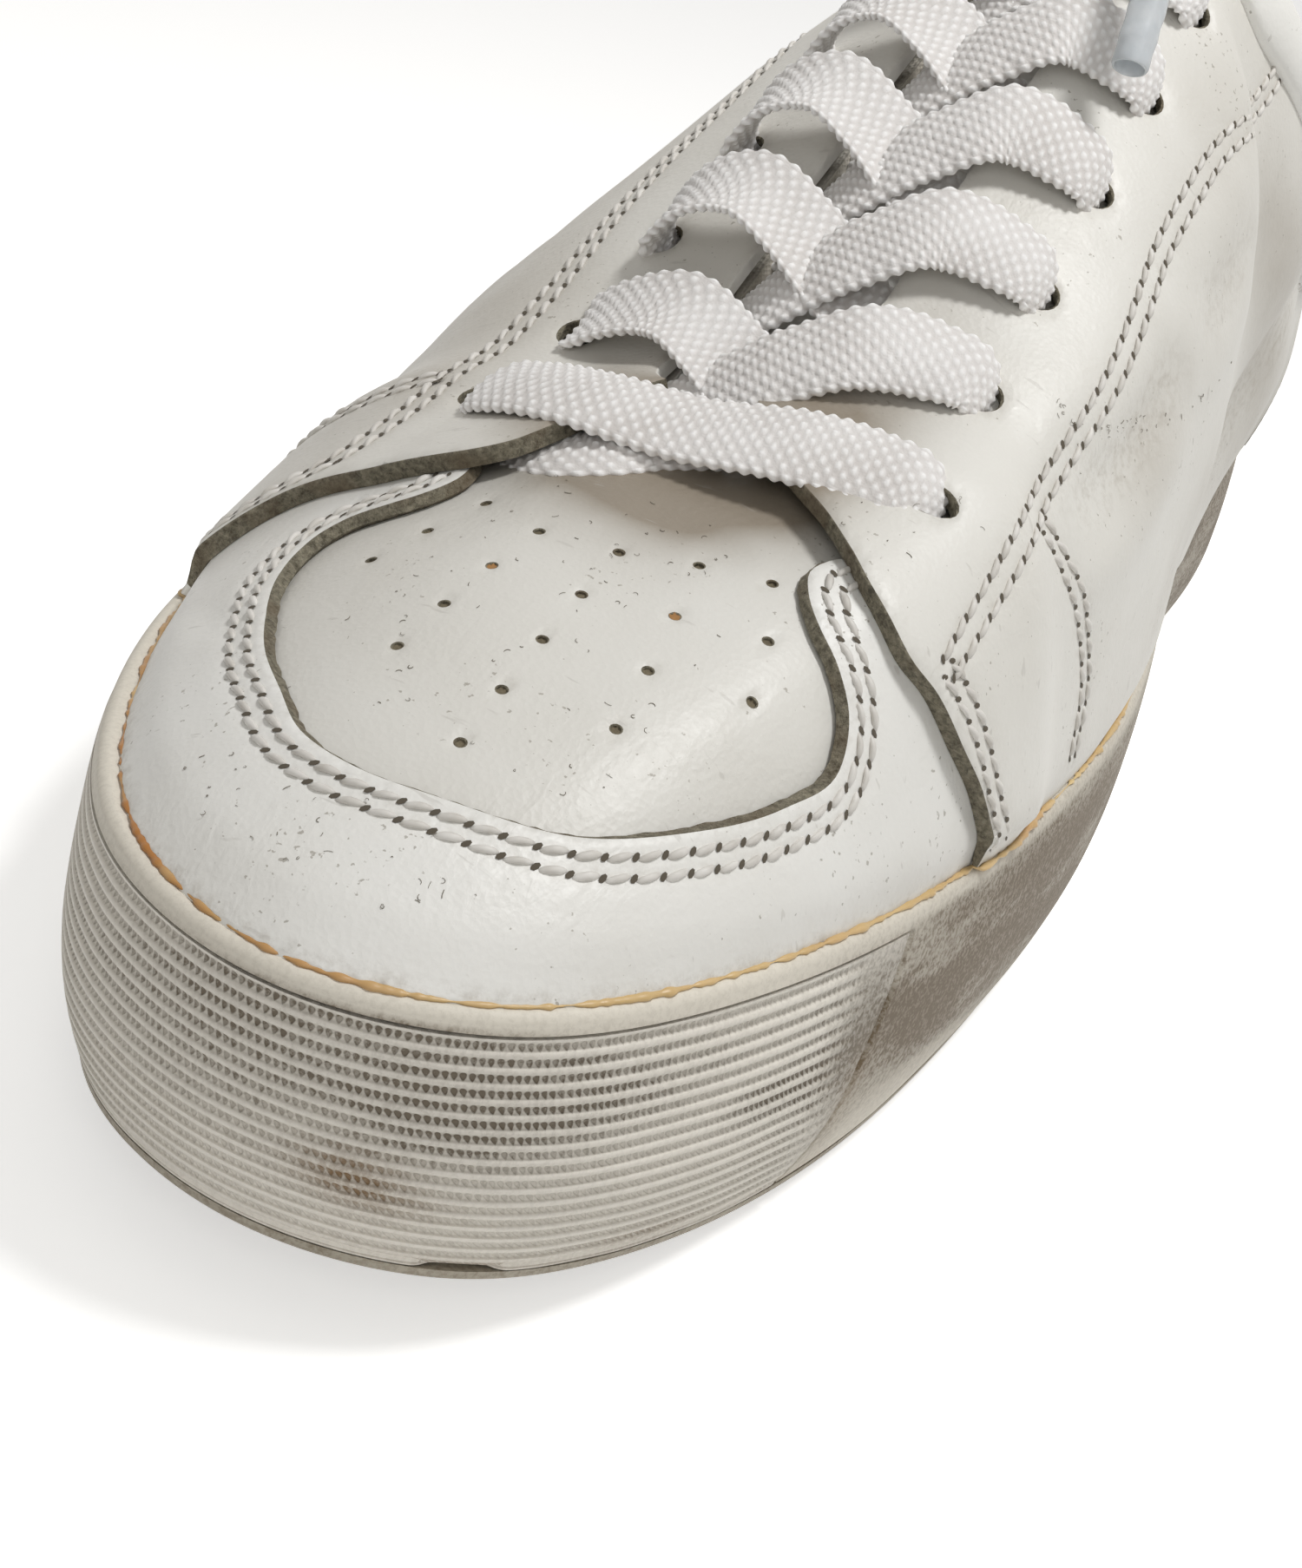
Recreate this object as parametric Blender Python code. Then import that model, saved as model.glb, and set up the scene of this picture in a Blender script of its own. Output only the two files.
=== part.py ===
"""Low leather court sneaker for the right foot, empty and standing on its sole.

The toe points to -Y, the inner (medial) side is +X and the floor is z = 0.
Tables are in millimetres; meshes are made in metres.
"""
from collections import namedtuple

import bmesh
import bpy
import numpy as np
from mathutils import Vector

MM = 0.001
GAP = 0.3            # between neighbouring pieces

# Driving dimensions
LENGTH = 284.0       # outsole, toe to heel
BALL_WIDTH = 98.4    # across the rubber at the ball of the foot
INSTEP_HEIGHT = 111.5  # top of the facings
HEEL_HEIGHT = 84.5   # top line at the heel
UPPER_WALL = 2.2     # leather and lining together

TOE_Y = -LENGTH / 2
HALF_WIDTH = BALL_WIDTH / 2
UP = np.array([0.0, 0.0, 1.0])

# One row for each section round the shoe. along and across place the rubber's outline, in
# percent of the length and of half the ball width; the edge columns place the opening's edge,
# its height in percent of the instep height. The wall leaves the rubber at the angle rise and
# meets the edge at the angle fall; pull and reach say how far each angle is held, and ledge
# is the rubber's width on top.
Section = namedtuple("Section", "name along across edge_across edge_along edge_height "
                                "rise pull fall reach ledge")
HEEL_EDGE = 100 * HEEL_HEIGHT / INSTEP_HEIGHT
MEDIAL = [
    Section("toe", 0.0, 18.9, 9.6, 28.2, 54.7, 36, 0.30, 12, 0.45, 2.8),
    Section("toe_corner", 2.1, 53.7, 17.9, 28.5, 55.1, 40, 0.30, 13, 0.45, 2.8),
    Section("vamp", 7.7, 76.8, 25.2, 29.6, 57.2, 48, 0.32, 12, 0.42, 2.8),
    Section("joint", 18.3, 93.3, 27.2, 33.5, 64.6, 62, 0.34, 11, 0.42, 2.8),
    Section("ball", 31.7, 100.0, 26.2, 40.5, 77.1, 76, 0.36, 12, 0.42, 2.8),
    Section("instep", 44.4, 98.0, 25.2, 48.2, 90.4, 81, 0.40, 16, 0.42, 2.8),
    Section("waist", 54.9, 89.0, 27.2, 54.9, 100.0, 84, 0.42, 26, 0.40, 2.8),
    Section("facing_top", 63.4, 78.5, 47.8, 59.5, 96.4, 92, 0.42, 48, 0.38, 2.8),
    Section("seat", 71.8, 68.7, 65.7, 65.8, 82.1, 104, 0.42, 68, 0.36, 2.8),
    Section("ankle", 81.0, 64.2, 65.7, 74.6, 66.8, 108, 0.42, 82, 0.34, 2.8),
    Section("quarter", 89.8, 61.4, 61.2, 83.5, 63.7, 106, 0.40, 86, 0.34, 2.8),
    Section("back_quarter", 96.8, 42.5, 42.1, 90.1, 69.1, 96, 0.36, 86, 0.34, 2.8),
    Section("heel", 100.0, 1.6, 4.1, 94.7, HEEL_EDGE, 94, 0.36, 84, 0.34, 2.8),
]
LATERAL = [
    Section("toe_corner", 2.5, -21.1, 1.2, 28.4, 54.0, 38, 0.30, 14, 0.45, 3.4),
    Section("vamp", 9.5, -54.1, -6.1, 29.6, 54.0, 45, 0.30, 25, 0.44, 3.8),
    Section("joint", 20.4, -82.1, -8.1, 33.5, 59.0, 58, 0.32, 29, 0.40, 3.4),
    Section("ball", 33.5, -97.6, -7.1, 40.5, 71.9, 76, 0.36, 26, 0.38, 3.0),
    Section("instep", 45.4, -100.0, -6.1, 48.2, 85.2, 86, 0.38, 32, 0.38, 2.8),
    Section("waist", 55.6, -94.7, -8.1, 54.9, 95.5, 91, 0.40, 40, 0.38, 2.8),
    Section("facing_top", 64.8, -83.9, -23.0, 59.5, 93.3, 92, 0.40, 54, 0.38, 2.8),
    Section("seat", 73.2, -73.2, -34.6, 65.8, 79.4, 91, 0.38, 68, 0.36, 2.8),
    Section("ankle", 82.0, -68.7, -47.3, 74.6, 64.1, 89, 0.38, 80, 0.34, 2.8),
    Section("quarter", 90.5, -60.4, -46.6, 83.5, 61.4, 88, 0.36, 84, 0.34, 2.8),
    Section("back_quarter", 97.2, -38.7, -31.0, 90.1, 68.2, 89, 0.36, 86, 0.34, 2.8),
]
SECTIONS = MEDIAL + LATERAL[::-1]


# ---------------------------------------------------------------- curves round the shoe

class Loop:
    """Closed smooth curve through equally spaced rows, read at a turn from 0 to 1."""

    def __init__(self, rows):
        self.rows = np.array(rows, float)
        count = len(self.rows)
        bands = 4 * np.eye(count) + np.roll(np.eye(count), 1, 1) + np.roll(np.eye(count), -1, 1)
        ahead, behind = np.roll(self.rows, -1, 0), np.roll(self.rows, 1, 0)
        self.bend = np.linalg.solve(bands, 6 * (ahead - 2 * self.rows + behind))

    def __call__(self, turn):
        place = np.mod(turn, 1.0) * len(self.rows)
        start = np.floor(place).astype(int) % len(self.rows)
        end = (start + 1) % len(self.rows)
        far = (place - np.floor(place))[..., None]
        near = 1 - far
        straight = self.rows[start] * near + self.rows[end] * far
        curved = self.bend[start] * (near ** 3 - near) + self.bend[end] * (far ** 3 - far)
        return straight + curved / 6

    def slope(self, turn):
        step = 1e-4
        return (self(turn + step) - self(turn - step)) / (2 * step)


def column(name):
    return np.array([getattr(section, name) for section in SECTIONS], float)


OUTLINE = Loop(np.stack([column("across") * HALF_WIDTH / 100,
                         column("along") * LENGTH / 100 + TOE_Y], 1))
OPENING = Loop(np.stack([column("edge_across") * HALF_WIDTH / 100,
                         column("edge_along") * LENGTH / 100 + TOE_Y,
                         column("edge_height") * INSTEP_HEIGHT / 100], 1))
WALL_SHAPE = Loop(np.stack([column("rise"), column("pull"), column("fall"),
                            column("reach"), column("ledge")], 1))


def unit(vectors):
    return vectors / np.linalg.norm(vectors, axis=-1, keepdims=True)


def eased(value):
    """0 to 1 with level ends."""
    value = np.clip(value, 0, 1)
    return value * value * (3 - 2 * value)


def inset(turn, depth):
    """Points of the outline, moved in by depth."""
    slope = OUTLINE.slope(turn)
    inward = unit(np.stack([-slope[..., 1], slope[..., 0]], -1))
    return OUTLINE(turn) + inward * np.broadcast_to(depth, np.shape(turn))[..., None]


# ---------------------------------------------------------------- heights along the foot

TOE_SPRING = 8.1
SPRING_END = 78.0        # the sole is flat from here on
ARCH_LIFT = 1.2
ARCH_MIDDLE = 172.0
ARCH_HALF = 30.0
HEEL_BEVEL = 1.6
BEVEL_START = 272.0
RUBBER_TOP = 30.0        # lowest, at the waist
TOE_RUBBER = 4.6         # more at the toe
HEEL_RUBBER = 1.5        # more at the heel


def along(y):
    return y - TOE_Y


def ground_height(y):
    """Underside of the tread."""
    s = along(y)
    spring = TOE_SPRING * np.clip(1 - s / SPRING_END, 0, None) ** 2
    arch = ARCH_LIFT * eased(1 - abs(s - ARCH_MIDDLE) / ARCH_HALF)
    bevel = HEEL_BEVEL * np.clip((s - BEVEL_START) / (LENGTH - BEVEL_START), 0, None) ** 2
    return spring + arch + bevel


def rubber_height(y):
    """Top of the rubber wall."""
    s = along(y)
    return RUBBER_TOP + TOE_RUBBER * (1 - eased(s / 110)) + HEEL_RUBBER * eased((s - 190) / 80)


BED_THICKNESS = 8.5      # outsole under the ball
BED_RISE = 8.0           # more under the heel


def bed_height(y):
    """Top of the outsole, which carries the insole."""
    return BED_THICKNESS + ground_height(y) + BED_RISE * eased((along(y) - 110) / 110)


# ---------------------------------------------------------------- form of the upper

def upper_form(turn, climb):
    """Outer face of the upper: climb 0 at the rubber's top, 1 at the opening's edge."""
    turn, climb = np.broadcast_arrays(np.asarray(turn, float), np.asarray(climb, float))
    shape = WALL_SHAPE(turn)
    rise, fall = np.radians(shape[..., 0:1]), np.radians(shape[..., 2:3])
    foot = inset(turn, shape[..., 4])
    foot = np.concatenate([foot, rubber_height(foot[..., 1:2])], -1)
    slope = OUTLINE.slope(turn)
    inward = unit(np.stack([-slope[..., 1], slope[..., 0]], -1))
    edge = OPENING(turn)
    edge_run = unit(OPENING.slope(turn))
    outward = unit(np.cross(edge_run, UP))
    span = np.linalg.norm(edge - foot, axis=-1, keepdims=True)
    leave = np.concatenate([inward * np.cos(rise), np.sin(rise)], -1) * span * shape[..., 1:2]
    meet = (np.cos(fall) * outward - np.sin(fall) * UP) * span * shape[..., 3:4]
    far = climb[..., None]
    near = 1 - far
    return (near ** 3 * foot + 3 * near ** 2 * far * (foot + leave)
            + 3 * near * far ** 2 * (edge + meet) + far ** 3 * edge)


# ---------------------------------------------------------------- making solids

def material(name, colour, roughness):
    made = bpy.data.materials.new(name)
    made.use_nodes = True
    shader = made.node_tree.nodes["Principled BSDF"]
    shader.inputs["Base Color"].default_value = (*colour, 1)
    shader.inputs["Roughness"].default_value = roughness
    shader.inputs["Metallic"].default_value = 0.0
    return made


def add_object(name, mesh, finish, sharp_angle=40):
    mesh.shade_smooth()
    mesh.set_sharp_from_angle(angle=np.radians(sharp_angle))
    mesh.materials.append(finish)
    made = bpy.data.objects.new(name, mesh)
    bpy.context.collection.objects.link(made)
    return made


def mesh_of(name, points, faces):
    """Mesh in metres from points in millimetres, with its faces turned outwards."""
    mesh = bpy.data.meshes.new(name)
    mesh.from_pydata([tuple(point) for point in np.asarray(points) * MM], [], faces)
    build = bmesh.new()
    build.from_mesh(mesh)
    bmesh.ops.recalc_face_normals(build, faces=build.faces)
    build.to_mesh(mesh)
    build.free()
    return mesh


def grid_faces(rows, columns, wrap_rows=False, wrap_columns=False):
    """Quads of a grid whose points are numbered row by row."""
    return [(r * columns + c, r * columns + (c + 1) % columns,
             (r + 1) % rows * columns + (c + 1) % columns, (r + 1) % rows * columns + c)
            for r in range(rows if wrap_rows else rows - 1)
            for c in range(columns if wrap_columns else columns - 1)]


def tube_ring(name, rings, finish):
    """Solid ring: the rings run once round its section and close on the first."""
    rings = np.array(rings)
    faces = grid_faces(len(rings), rings.shape[1], True, True)
    return add_object(name, mesh_of(name, rings.reshape(-1, 3), faces), finish)


def capped_bar(name, rings, finish, sharp_angle=40):
    """Solid bar: closed sections one after the other, with both ends filled."""
    rings = np.array(rings)
    count, around = rings.shape[:2]
    faces = grid_faces(count, around, False, True)
    faces += [tuple(range(around)), tuple(range((count - 1) * around, count * around))]
    return add_object(name, mesh_of(name, rings.reshape(-1, 3), faces), finish, sharp_angle)


def combine(base, others, operation):
    """Boolean with other objects, which are used up."""
    for other in others:
        modifier = base.modifiers.new(operation.title(), "BOOLEAN")
        modifier.operation = operation
        modifier.object = other
    bpy.context.view_layer.update()
    evaluated = base.evaluated_get(bpy.context.evaluated_depsgraph_get())
    result = bpy.data.meshes.new_from_object(evaluated)
    base.modifiers.clear()
    base.data = result
    for other in others:
        bpy.data.objects.remove(other)


# ---------------------------------------------------------------- outsole

AROUND = 76              # points round the sole and the upper
SHELF_DEPTH = 2.5        # the wall's foot reaches in under the upper by this
TURNS = np.arange(AROUND) / AROUND
CROSSING = 4             # strips across the sole's faces
TREAD_EDGE = 3.0         # the tread's edge lies in from the outline
SLAB_EDGE = 2.4
SLAB_THICKNESS = 2.2
GROOVE_DEPTH = 1.6
GROOVE_WIDTH = 3.2
GROOVE_RIM = 9.0         # smooth rim round the grooves
FOREFOOT_GROOVES = np.arange(24, 146, 12.0)
HEEL_GROOVES = np.arange(206, 268, 12.0)


def ledge(turn):
    return WALL_SHAPE(turn)[..., 4]


def level_ring(depth, height):
    """Ring at a depth inside the outline, its height given as a function of y."""
    points = inset(TURNS, depth)
    return np.column_stack([points, height(points[:, 1])])


def filled_face(ring, first, height):
    """Inner points and faces that close a ring, strip by strip across the foot."""
    half = AROUND // 2
    points, faces, rows = [], [], []
    for step in range(1, half):
        left, right = ring[step], ring[AROUND - step]
        row = [step]
        for part in range(1, CROSSING):
            point = left + (right - left) * part / CROSSING
            point[2] = height(point[1])
            row.append(first + len(points))
            points.append(point)
        rows.append(row + [AROUND - step])
    for row, following in zip(rows, rows[1:]):
        for part in range(CROSSING):
            faces.append((row[part], row[part + 1], following[part + 1], following[part]))
    faces.append((0, *rows[0][::-1]))
    faces.append((half, *rows[-1]))
    return points, faces


def layered_solid(name, rings, low, high, finish):
    """Stack of rings closed by a face below and a face above."""
    points = [point for ring in rings for point in ring]
    faces = grid_faces(len(rings), AROUND, False, True)
    top_start = (len(rings) - 1) * AROUND
    more, under = filled_face(rings[0], len(points), low)
    faces += under
    points += more
    more, over = filled_face(rings[-1], len(points), high)
    faces += [tuple(i + top_start if i < AROUND else i for i in face) for face in over]
    points += more
    return add_object(name, mesh_of(name, points, faces), finish)


def groove(s):
    """Cutter for one groove straight across the tread."""
    y = s + TOE_Y
    half = AROUND // 2
    ring = inset(TURNS, GROOVE_RIM)
    medial = np.interp(y, ring[:half + 1, 1], ring[:half + 1, 0])
    lateral = np.interp(y, ring[half:, 1][::-1], ring[half:, 0][::-1])
    top = ground_height(y) + GROOVE_DEPTH
    build = bmesh.new()
    bmesh.ops.create_cube(build, size=1)
    bmesh.ops.scale(build, verts=build.verts, vec=Vector((medial - lateral, GROOVE_WIDTH, top + 2)) * MM)
    bmesh.ops.translate(build, verts=build.verts,
                        vec=Vector(((medial + lateral) / 2, y, (top - 2) / 2)) * MM)
    mesh = bpy.data.meshes.new("groove")
    build.to_mesh(mesh)
    build.free()
    made = bpy.data.objects.new("groove", mesh)
    bpy.context.collection.objects.link(made)
    return made


def make_outsole():
    rubber = material("outsole_rubber", (0.62, 0.58, 0.50), 0.7)
    core = ledge(TURNS) + SHELF_DEPTH + GAP
    rings = [level_ring(TREAD_EDGE, ground_height),
             level_ring(SLAB_EDGE, lambda y: ground_height(y) + SLAB_THICKNESS),
             level_ring(core, lambda y: ground_height(y) + SLAB_THICKNESS),
             level_ring(core, bed_height)]
    sole = layered_solid("outsole", rings, ground_height, bed_height, rubber)
    combine(sole, [groove(s) for s in np.concatenate([FOREFOOT_GROOVES, HEEL_GROOVES])], "DIFFERENCE")


# ---------------------------------------------------------------- rubber wall and toe bumper

BUMPER_BACK = 1.4        # back of the bumper, in from the outline
BUMPER_LEAST = 0.8       # its thickness where the wall curves under
BUMPER_START = -0.145    # turn at its lateral end
BUMPER_END = 0.122       # turn at its medial end
BUMPER_SLANT = 0.010     # the ends lean back towards the top
BUMPER_TOP = 0.92        # of the wall's height
BUMPER_COLUMNS = 27
TOP_ROUNDING = 0.8
WALL_STEPS = (0.0, 0.15, 0.3, 0.45, 0.7, BUMPER_TOP + 0.01, BUMPER_TOP + 0.02, 1.0)


def wall_inset(rise):
    """The wall's face lies in from the outline by this, rise 0 at its foot, 1 at its top."""
    top = np.clip((rise - 0.5) / 0.5, 0, None) ** 2
    foot = 2.8 * np.clip((0.45 - rise) / 0.45, 0, None) ** 2
    return top + foot


def bumper_back(rise):
    return np.maximum(BUMPER_BACK, wall_inset(rise) + BUMPER_LEAST)


def wall_height(y, rise):
    low = ground_height(y) + SLAB_THICKNESS + GAP
    return low + (rubber_height(y) - low) * rise


def under_bumper(turn):
    """1 where the bumper covers the wall, easing to 0 past its ends."""
    turn = (turn + 0.5) % 1.0 - 0.5
    ease = 0.02
    past = np.maximum(turn - BUMPER_END - ease / 2, BUMPER_START - ease / 2 - turn)
    return 1 - eased(past / ease)


def make_foxing():
    rubber = material("wall_rubber", (0.72, 0.69, 0.62), 0.6)
    covered = under_bumper(TURNS)
    inner = ledge(TURNS) - GAP / 2
    foot = ledge(TURNS) + SHELF_DEPTH
    rings = []
    for rise in WALL_STEPS:
        depth = np.full(AROUND, wall_inset(rise))
        if rise <= BUMPER_TOP + 0.01:
            depth += covered * (bumper_back(rise) + GAP - wall_inset(rise))
        rings.append(level_ring(depth, lambda y: wall_height(y, rise) - TOP_ROUNDING * (rise == 1)))
    rings.append(level_ring(wall_inset(1.0) + TOP_ROUNDING, rubber_height))
    rings.append(level_ring(inner, rubber_height))
    rings.append(level_ring(inner, bed_height))
    rings.append(level_ring(foot, bed_height))
    rings.append(level_ring(foot, lambda y: wall_height(y, 0.0)))
    tube_ring("foxing", rings, rubber)


def make_toe_bumper():
    rubber = material("ribbed_rubber", (0.74, 0.71, 0.64), 0.65)
    steps = np.linspace(0.02, BUMPER_TOP - 0.005, 7)
    sections = []
    for part in np.linspace(0, 1, BUMPER_COLUMNS):
        face, back = [], []
        for rise in steps:
            lean = BUMPER_SLANT * (rise - 0.5)
            turn = BUMPER_START - lean + (BUMPER_END - BUMPER_START + 2 * lean) * part
            for depth, side in ((wall_inset(rise), face), (bumper_back(rise), back)):
                point = inset(np.array(turn), depth)
                side.append((*point, wall_height(point[1], rise)))
        sections.append(face + back[::-1])
    capped_bar("toe_bumper", sections, rubber)


# ---------------------------------------------------------------- insole

INSOLE_THICKNESS = 4.0
INSOLE_CUP = 1.5         # its rim stands up against the wall


def make_insole():
    cloth = material("insole_cloth", (0.55, 0.53, 0.48), 0.9)
    edge = ledge(TURNS) + GAP / 2 + UPPER_WALL + GAP
    low = lambda y: bed_height(y) + GAP
    high = lambda y: bed_height(y) + GAP + INSOLE_THICKNESS
    rings = [level_ring(edge, low), level_ring(edge, lambda y: high(y) + INSOLE_CUP),
             level_ring(edge + 1.2, lambda y: high(y) + INSOLE_CUP), level_ring(edge + 6, high)]
    layered_solid("insole", rings, low, high, cloth)


# ---------------------------------------------------------------- upper

CLIMBS = (0.0, 0.06, 0.14, 0.23, 0.33, 0.44, 0.55, 0.66, 0.77, 0.87, 0.94, 1.0)
EYELET_ROWS = 6
EYELET_PITCH = 16.7
EYELET_SLOPE = 32.7      # of the rows, above level
EYELET_DIAMETER = 4.6
FIRST_EYELET = 78.8      # behind the toe, at an even pitch
THROAT_MIDDLE = 4.7      # across
FIRST_SPREAD = 23.5      # eyelets from the throat's middle
SPREAD_STEP = 1.29       # closer together in each row up
FIRST_FORWARD = {1: 2.8, -1: 1.4}   # the first pair lies this much nearer the toe,
FIRST_WIDER = {1: 1.4, -1: 0.0}     # and this much farther out, by side


def eyelet(row, side):
    """Place in plan of one eyelet; row may be a fraction and side is 1 medial, -1 lateral."""
    below = np.clip(1 - row, 0, 1)
    run = EYELET_PITCH * np.cos(np.radians(EYELET_SLOPE)) * row - FIRST_FORWARD[side] * below
    spread = FIRST_SPREAD - SPREAD_STEP * row + FIRST_WIDER[side] * below
    return THROAT_MIDDLE + side * spread, FIRST_EYELET + run + TOE_Y


def surface_at(x, y):
    """Point and outward normal of the upper's outer face above a place in plan."""
    side = 0.15 if x > THROAT_MIDDLE else 0.85
    guess = np.array([side, 0.7])
    step = 1e-4

    def place(values):
        return upper_form(values[0], values[1])

    for _ in range(30):
        here = place(guess)
        across = (place(guess + (step, 0)) - here) / step
        uphill = (place(guess + (0, step)) - here) / step
        shift = np.linalg.solve(np.stack([across[:2], uphill[:2]], 1), (x, y) - here[:2])
        guess = guess + np.clip(shift, -0.03, 0.03)
    normal = unit(np.cross(across, uphill))
    return place(guess), normal * np.sign(normal[2])


def make_upper():
    leather = material("white_leather", (0.80, 0.79, 0.75), 0.5)
    hidden = ledge(TURNS) + GAP / 2
    outer = [level_ring(hidden, lambda y: bed_height(y) + GAP),
             level_ring(hidden, lambda y: rubber_height(y) - 2.5)]
    outer += [upper_form(TURNS, climb) for climb in CLIMBS]
    outer[2][:, :2] = inset(TURNS, hidden)
    outer = np.array(outer)
    along_turn = np.roll(outer, -1, 1) - np.roll(outer, 1, 1)
    up_wall = np.gradient(outer, axis=0)
    inner = outer - unit(np.cross(along_turn, up_wall)) * UPPER_WALL
    inner[0, :, 2] = outer[0, :, 2]
    upper = tube_ring("upper", list(outer) + list(inner[::-1]), leather)
    cutters = []
    for row in range(EYELET_ROWS):
        for side in (1, -1):
            point, normal = surface_at(*eyelet(row, side))
            build = bmesh.new()
            bmesh.ops.create_cone(build, cap_ends=True, segments=10, depth=12 * MM,
                                  radius1=EYELET_DIAMETER / 2 * MM, radius2=EYELET_DIAMETER / 2 * MM)
            turn = Vector(normal).to_track_quat("Z", "Y").to_matrix().to_4x4()
            bmesh.ops.transform(build, matrix=turn, verts=build.verts)
            bmesh.ops.translate(build, vec=Vector(point) * MM, verts=build.verts)
            mesh = bpy.data.meshes.new("punch")
            build.to_mesh(mesh)
            build.free()
            punch = bpy.data.objects.new("punch", mesh)
            bpy.context.collection.objects.link(punch)
            cutters.append(punch)
    combine(upper, cutters, "DIFFERENCE")


# ---------------------------------------------------------------- tongue

# Rows along the tongue: its upper face at the middle, half its width, how far its sides hang
# below the middle and how much higher its medial side is.
TongueRow = namedtuple("TongueRow", "name along height half_width drop lean")
TONGUE = [
    TongueRow("base", 70, 55.4, 15, 2.5, 3.0),
    TongueRow("throat", 82, 58.2, 19, 4.2, 4.2),
    TongueRow("second_row", 95, 65.4, 19, 5.6, 5.2),
    TongueRow("third_row", 115, 79.6, 20, 7.8, 4.6),
    TongueRow("fifth_row", 137, 94.8, 18, 7.6, 4.6),
    TongueRow("facing_top", 156, 105.6, 16, 10.5, 4.4),
    TongueRow("collar", 168, 112.5, 13, 9.0, 2.2),
    TongueRow("pad", 179, 119.5, 16, 8.0, 1.5),
    TongueRow("tip", 187, 124.5, 14.5, 6.5, 1.0),
]
TONGUE_THICKNESS = 3.2
TONGUE_ROWS = 15
TONGUE_COLUMNS = 8


def through(stations, values, at):
    """Smooth curve through rows of values, read at other stations."""
    values = np.array(values, float)
    slopes = np.gradient(values, stations, axis=0)
    step = np.clip(np.searchsorted(stations, at, side="right") - 1, 0, len(stations) - 2)
    width = np.diff(stations)[step][:, None]
    part = ((at - stations[step])[:, None]) / width
    rise = part * part * (3 - 2 * part)
    return (values[step] * (1 - rise) + values[step + 1] * rise
            + width * part * (1 - part) * (slopes[step] * (1 - part) - slopes[step + 1] * part))


def make_tongue():
    leather = material("tongue_leather", (0.78, 0.77, 0.73), 0.55)
    stations = np.array([row.along for row in TONGUE], float)
    shape = [(row.height, row.half_width, row.drop, row.lean) for row in TONGUE]
    at = np.linspace(stations[0], stations[-1], TONGUE_ROWS)
    across = np.linspace(-1, 1, TONGUE_COLUMNS)
    top = np.array([[(THROAT_MIDDLE + half * u, s + TOE_Y, height - drop * u * u + lean * u)
                     for u in across]
                    for s, (height, half, drop, lean) in zip(at, through(stations, shape, at))])
    normal = unit(np.cross(np.gradient(top, axis=1), np.gradient(top, axis=0)))
    under = top - normal * TONGUE_THICKNESS
    sections = [list(face) + list(back[::-1]) for face, back in zip(top, under)]
    capped_bar("tongue", sections, leather, sharp_angle=60)


# ---------------------------------------------------------------- laces

LACE_WIDTH = 10.0
LACE_THICKNESS = 1.5
GAP_EDGE = 0.45          # of the way to the eyelets, where the facings end
STRAP_SECTIONS = 9

# Routes of the flat lace: rows up from its own eyelet, across from the middle (1 at the
# eyelet) and height over the leather.
LacePoint = namedtuple("LacePoint", "rows across lift")
FIRST_BAR = [
    LacePoint(0.0, -0.97, 3.2), LacePoint(0.02, -0.65, 5.0), LacePoint(0.0, -0.1, 4.8),
    LacePoint(-0.04, 0.45, 5.2), LacePoint(-0.04, 0.8, 4.8), LacePoint(0.0, 0.97, 3.2),
]
MEDIAL_STRAP = [
    LacePoint(-0.31, 0.0, 5.5), LacePoint(-0.24, 0.18, 7.0), LacePoint(-0.14, 0.45, 8.6),
    LacePoint(-0.02, 0.78, 7.6), LacePoint(0.0, 0.97, 3.4),
]
LATERAL_STRAP = [
    LacePoint(0.0, -0.97, 3.4), LacePoint(0.1, -0.76, 8.0), LacePoint(0.1, -0.42, 9.4),
    LacePoint(-0.05, -0.12, 6.8), LacePoint(-0.27, 0.07, 5.2),
]


def lace_place(row, across, lift):
    """Point and normal over the facings and the gap between them."""
    def beside(share):
        x, y = eyelet(row, np.sign(share))
        return surface_at(THROAT_MIDDLE + abs(share) * (x - THROAT_MIDDLE), y)

    if abs(across) >= GAP_EDGE:
        point, normal = beside(across)
    else:
        (left, left_normal), (right, right_normal) = beside(-GAP_EDGE), beside(GAP_EDGE)
        part = (across + GAP_EDGE) / (2 * GAP_EDGE)
        point = left + (right - left) * part
        normal = unit(left_normal + (right_normal - left_normal) * part)
    return point + normal * lift, normal


def strap(name, row, route, finish):
    """Flat lace along a route, closed at both ends."""
    places = [lace_place(row + step.rows, step.across, step.lift) for step in route]
    stations = np.arange(len(route), dtype=float)
    at = np.linspace(0, stations[-1], STRAP_SECTIONS)
    centre = through(stations, [point for point, _ in places], at)
    normal = through(stations, [normal for _, normal in places], at)
    run = unit(np.gradient(centre, axis=0))
    side = unit(np.cross(run, normal))
    top = np.cross(side, run)
    half, thin = LACE_WIDTH / 2, LACE_THICKNESS / 2
    corners = [(1, 0), (0.75, 1), (-0.75, 1), (-1, 0), (-0.75, -1), (0.75, -1)]
    sections = [[c + s * half * u + t * thin * v for u, v in corners]
                for c, s, t in zip(centre, side, top)]
    return capped_bar(name, sections, finish)


def make_laces():
    cotton = material("white_lace", (0.85, 0.85, 0.84), 0.9)
    strap("lace_bar_1", 0, FIRST_BAR, cotton)
    for row in range(1, EYELET_ROWS):
        crossing = strap(f"lace_crossing_{row + 1}", row, MEDIAL_STRAP, cotton)
        combine(crossing, [strap("lateral_strap", row, LATERAL_STRAP, cotton)], "UNION")
        crossing.data.materials.clear()
        crossing.data.materials.append(cotton)


# ---------------------------------------------------------------- lace end and its tip

THROAT_HEIGHT = 60.5     # leather at the throat's middle, level with the first eyelets
LACE_END_TUBE = 3.0      # a round tube of about the flat lace's section
TIP_DIAMETER = 3.9
TIP_LENGTH = 21.0

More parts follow.
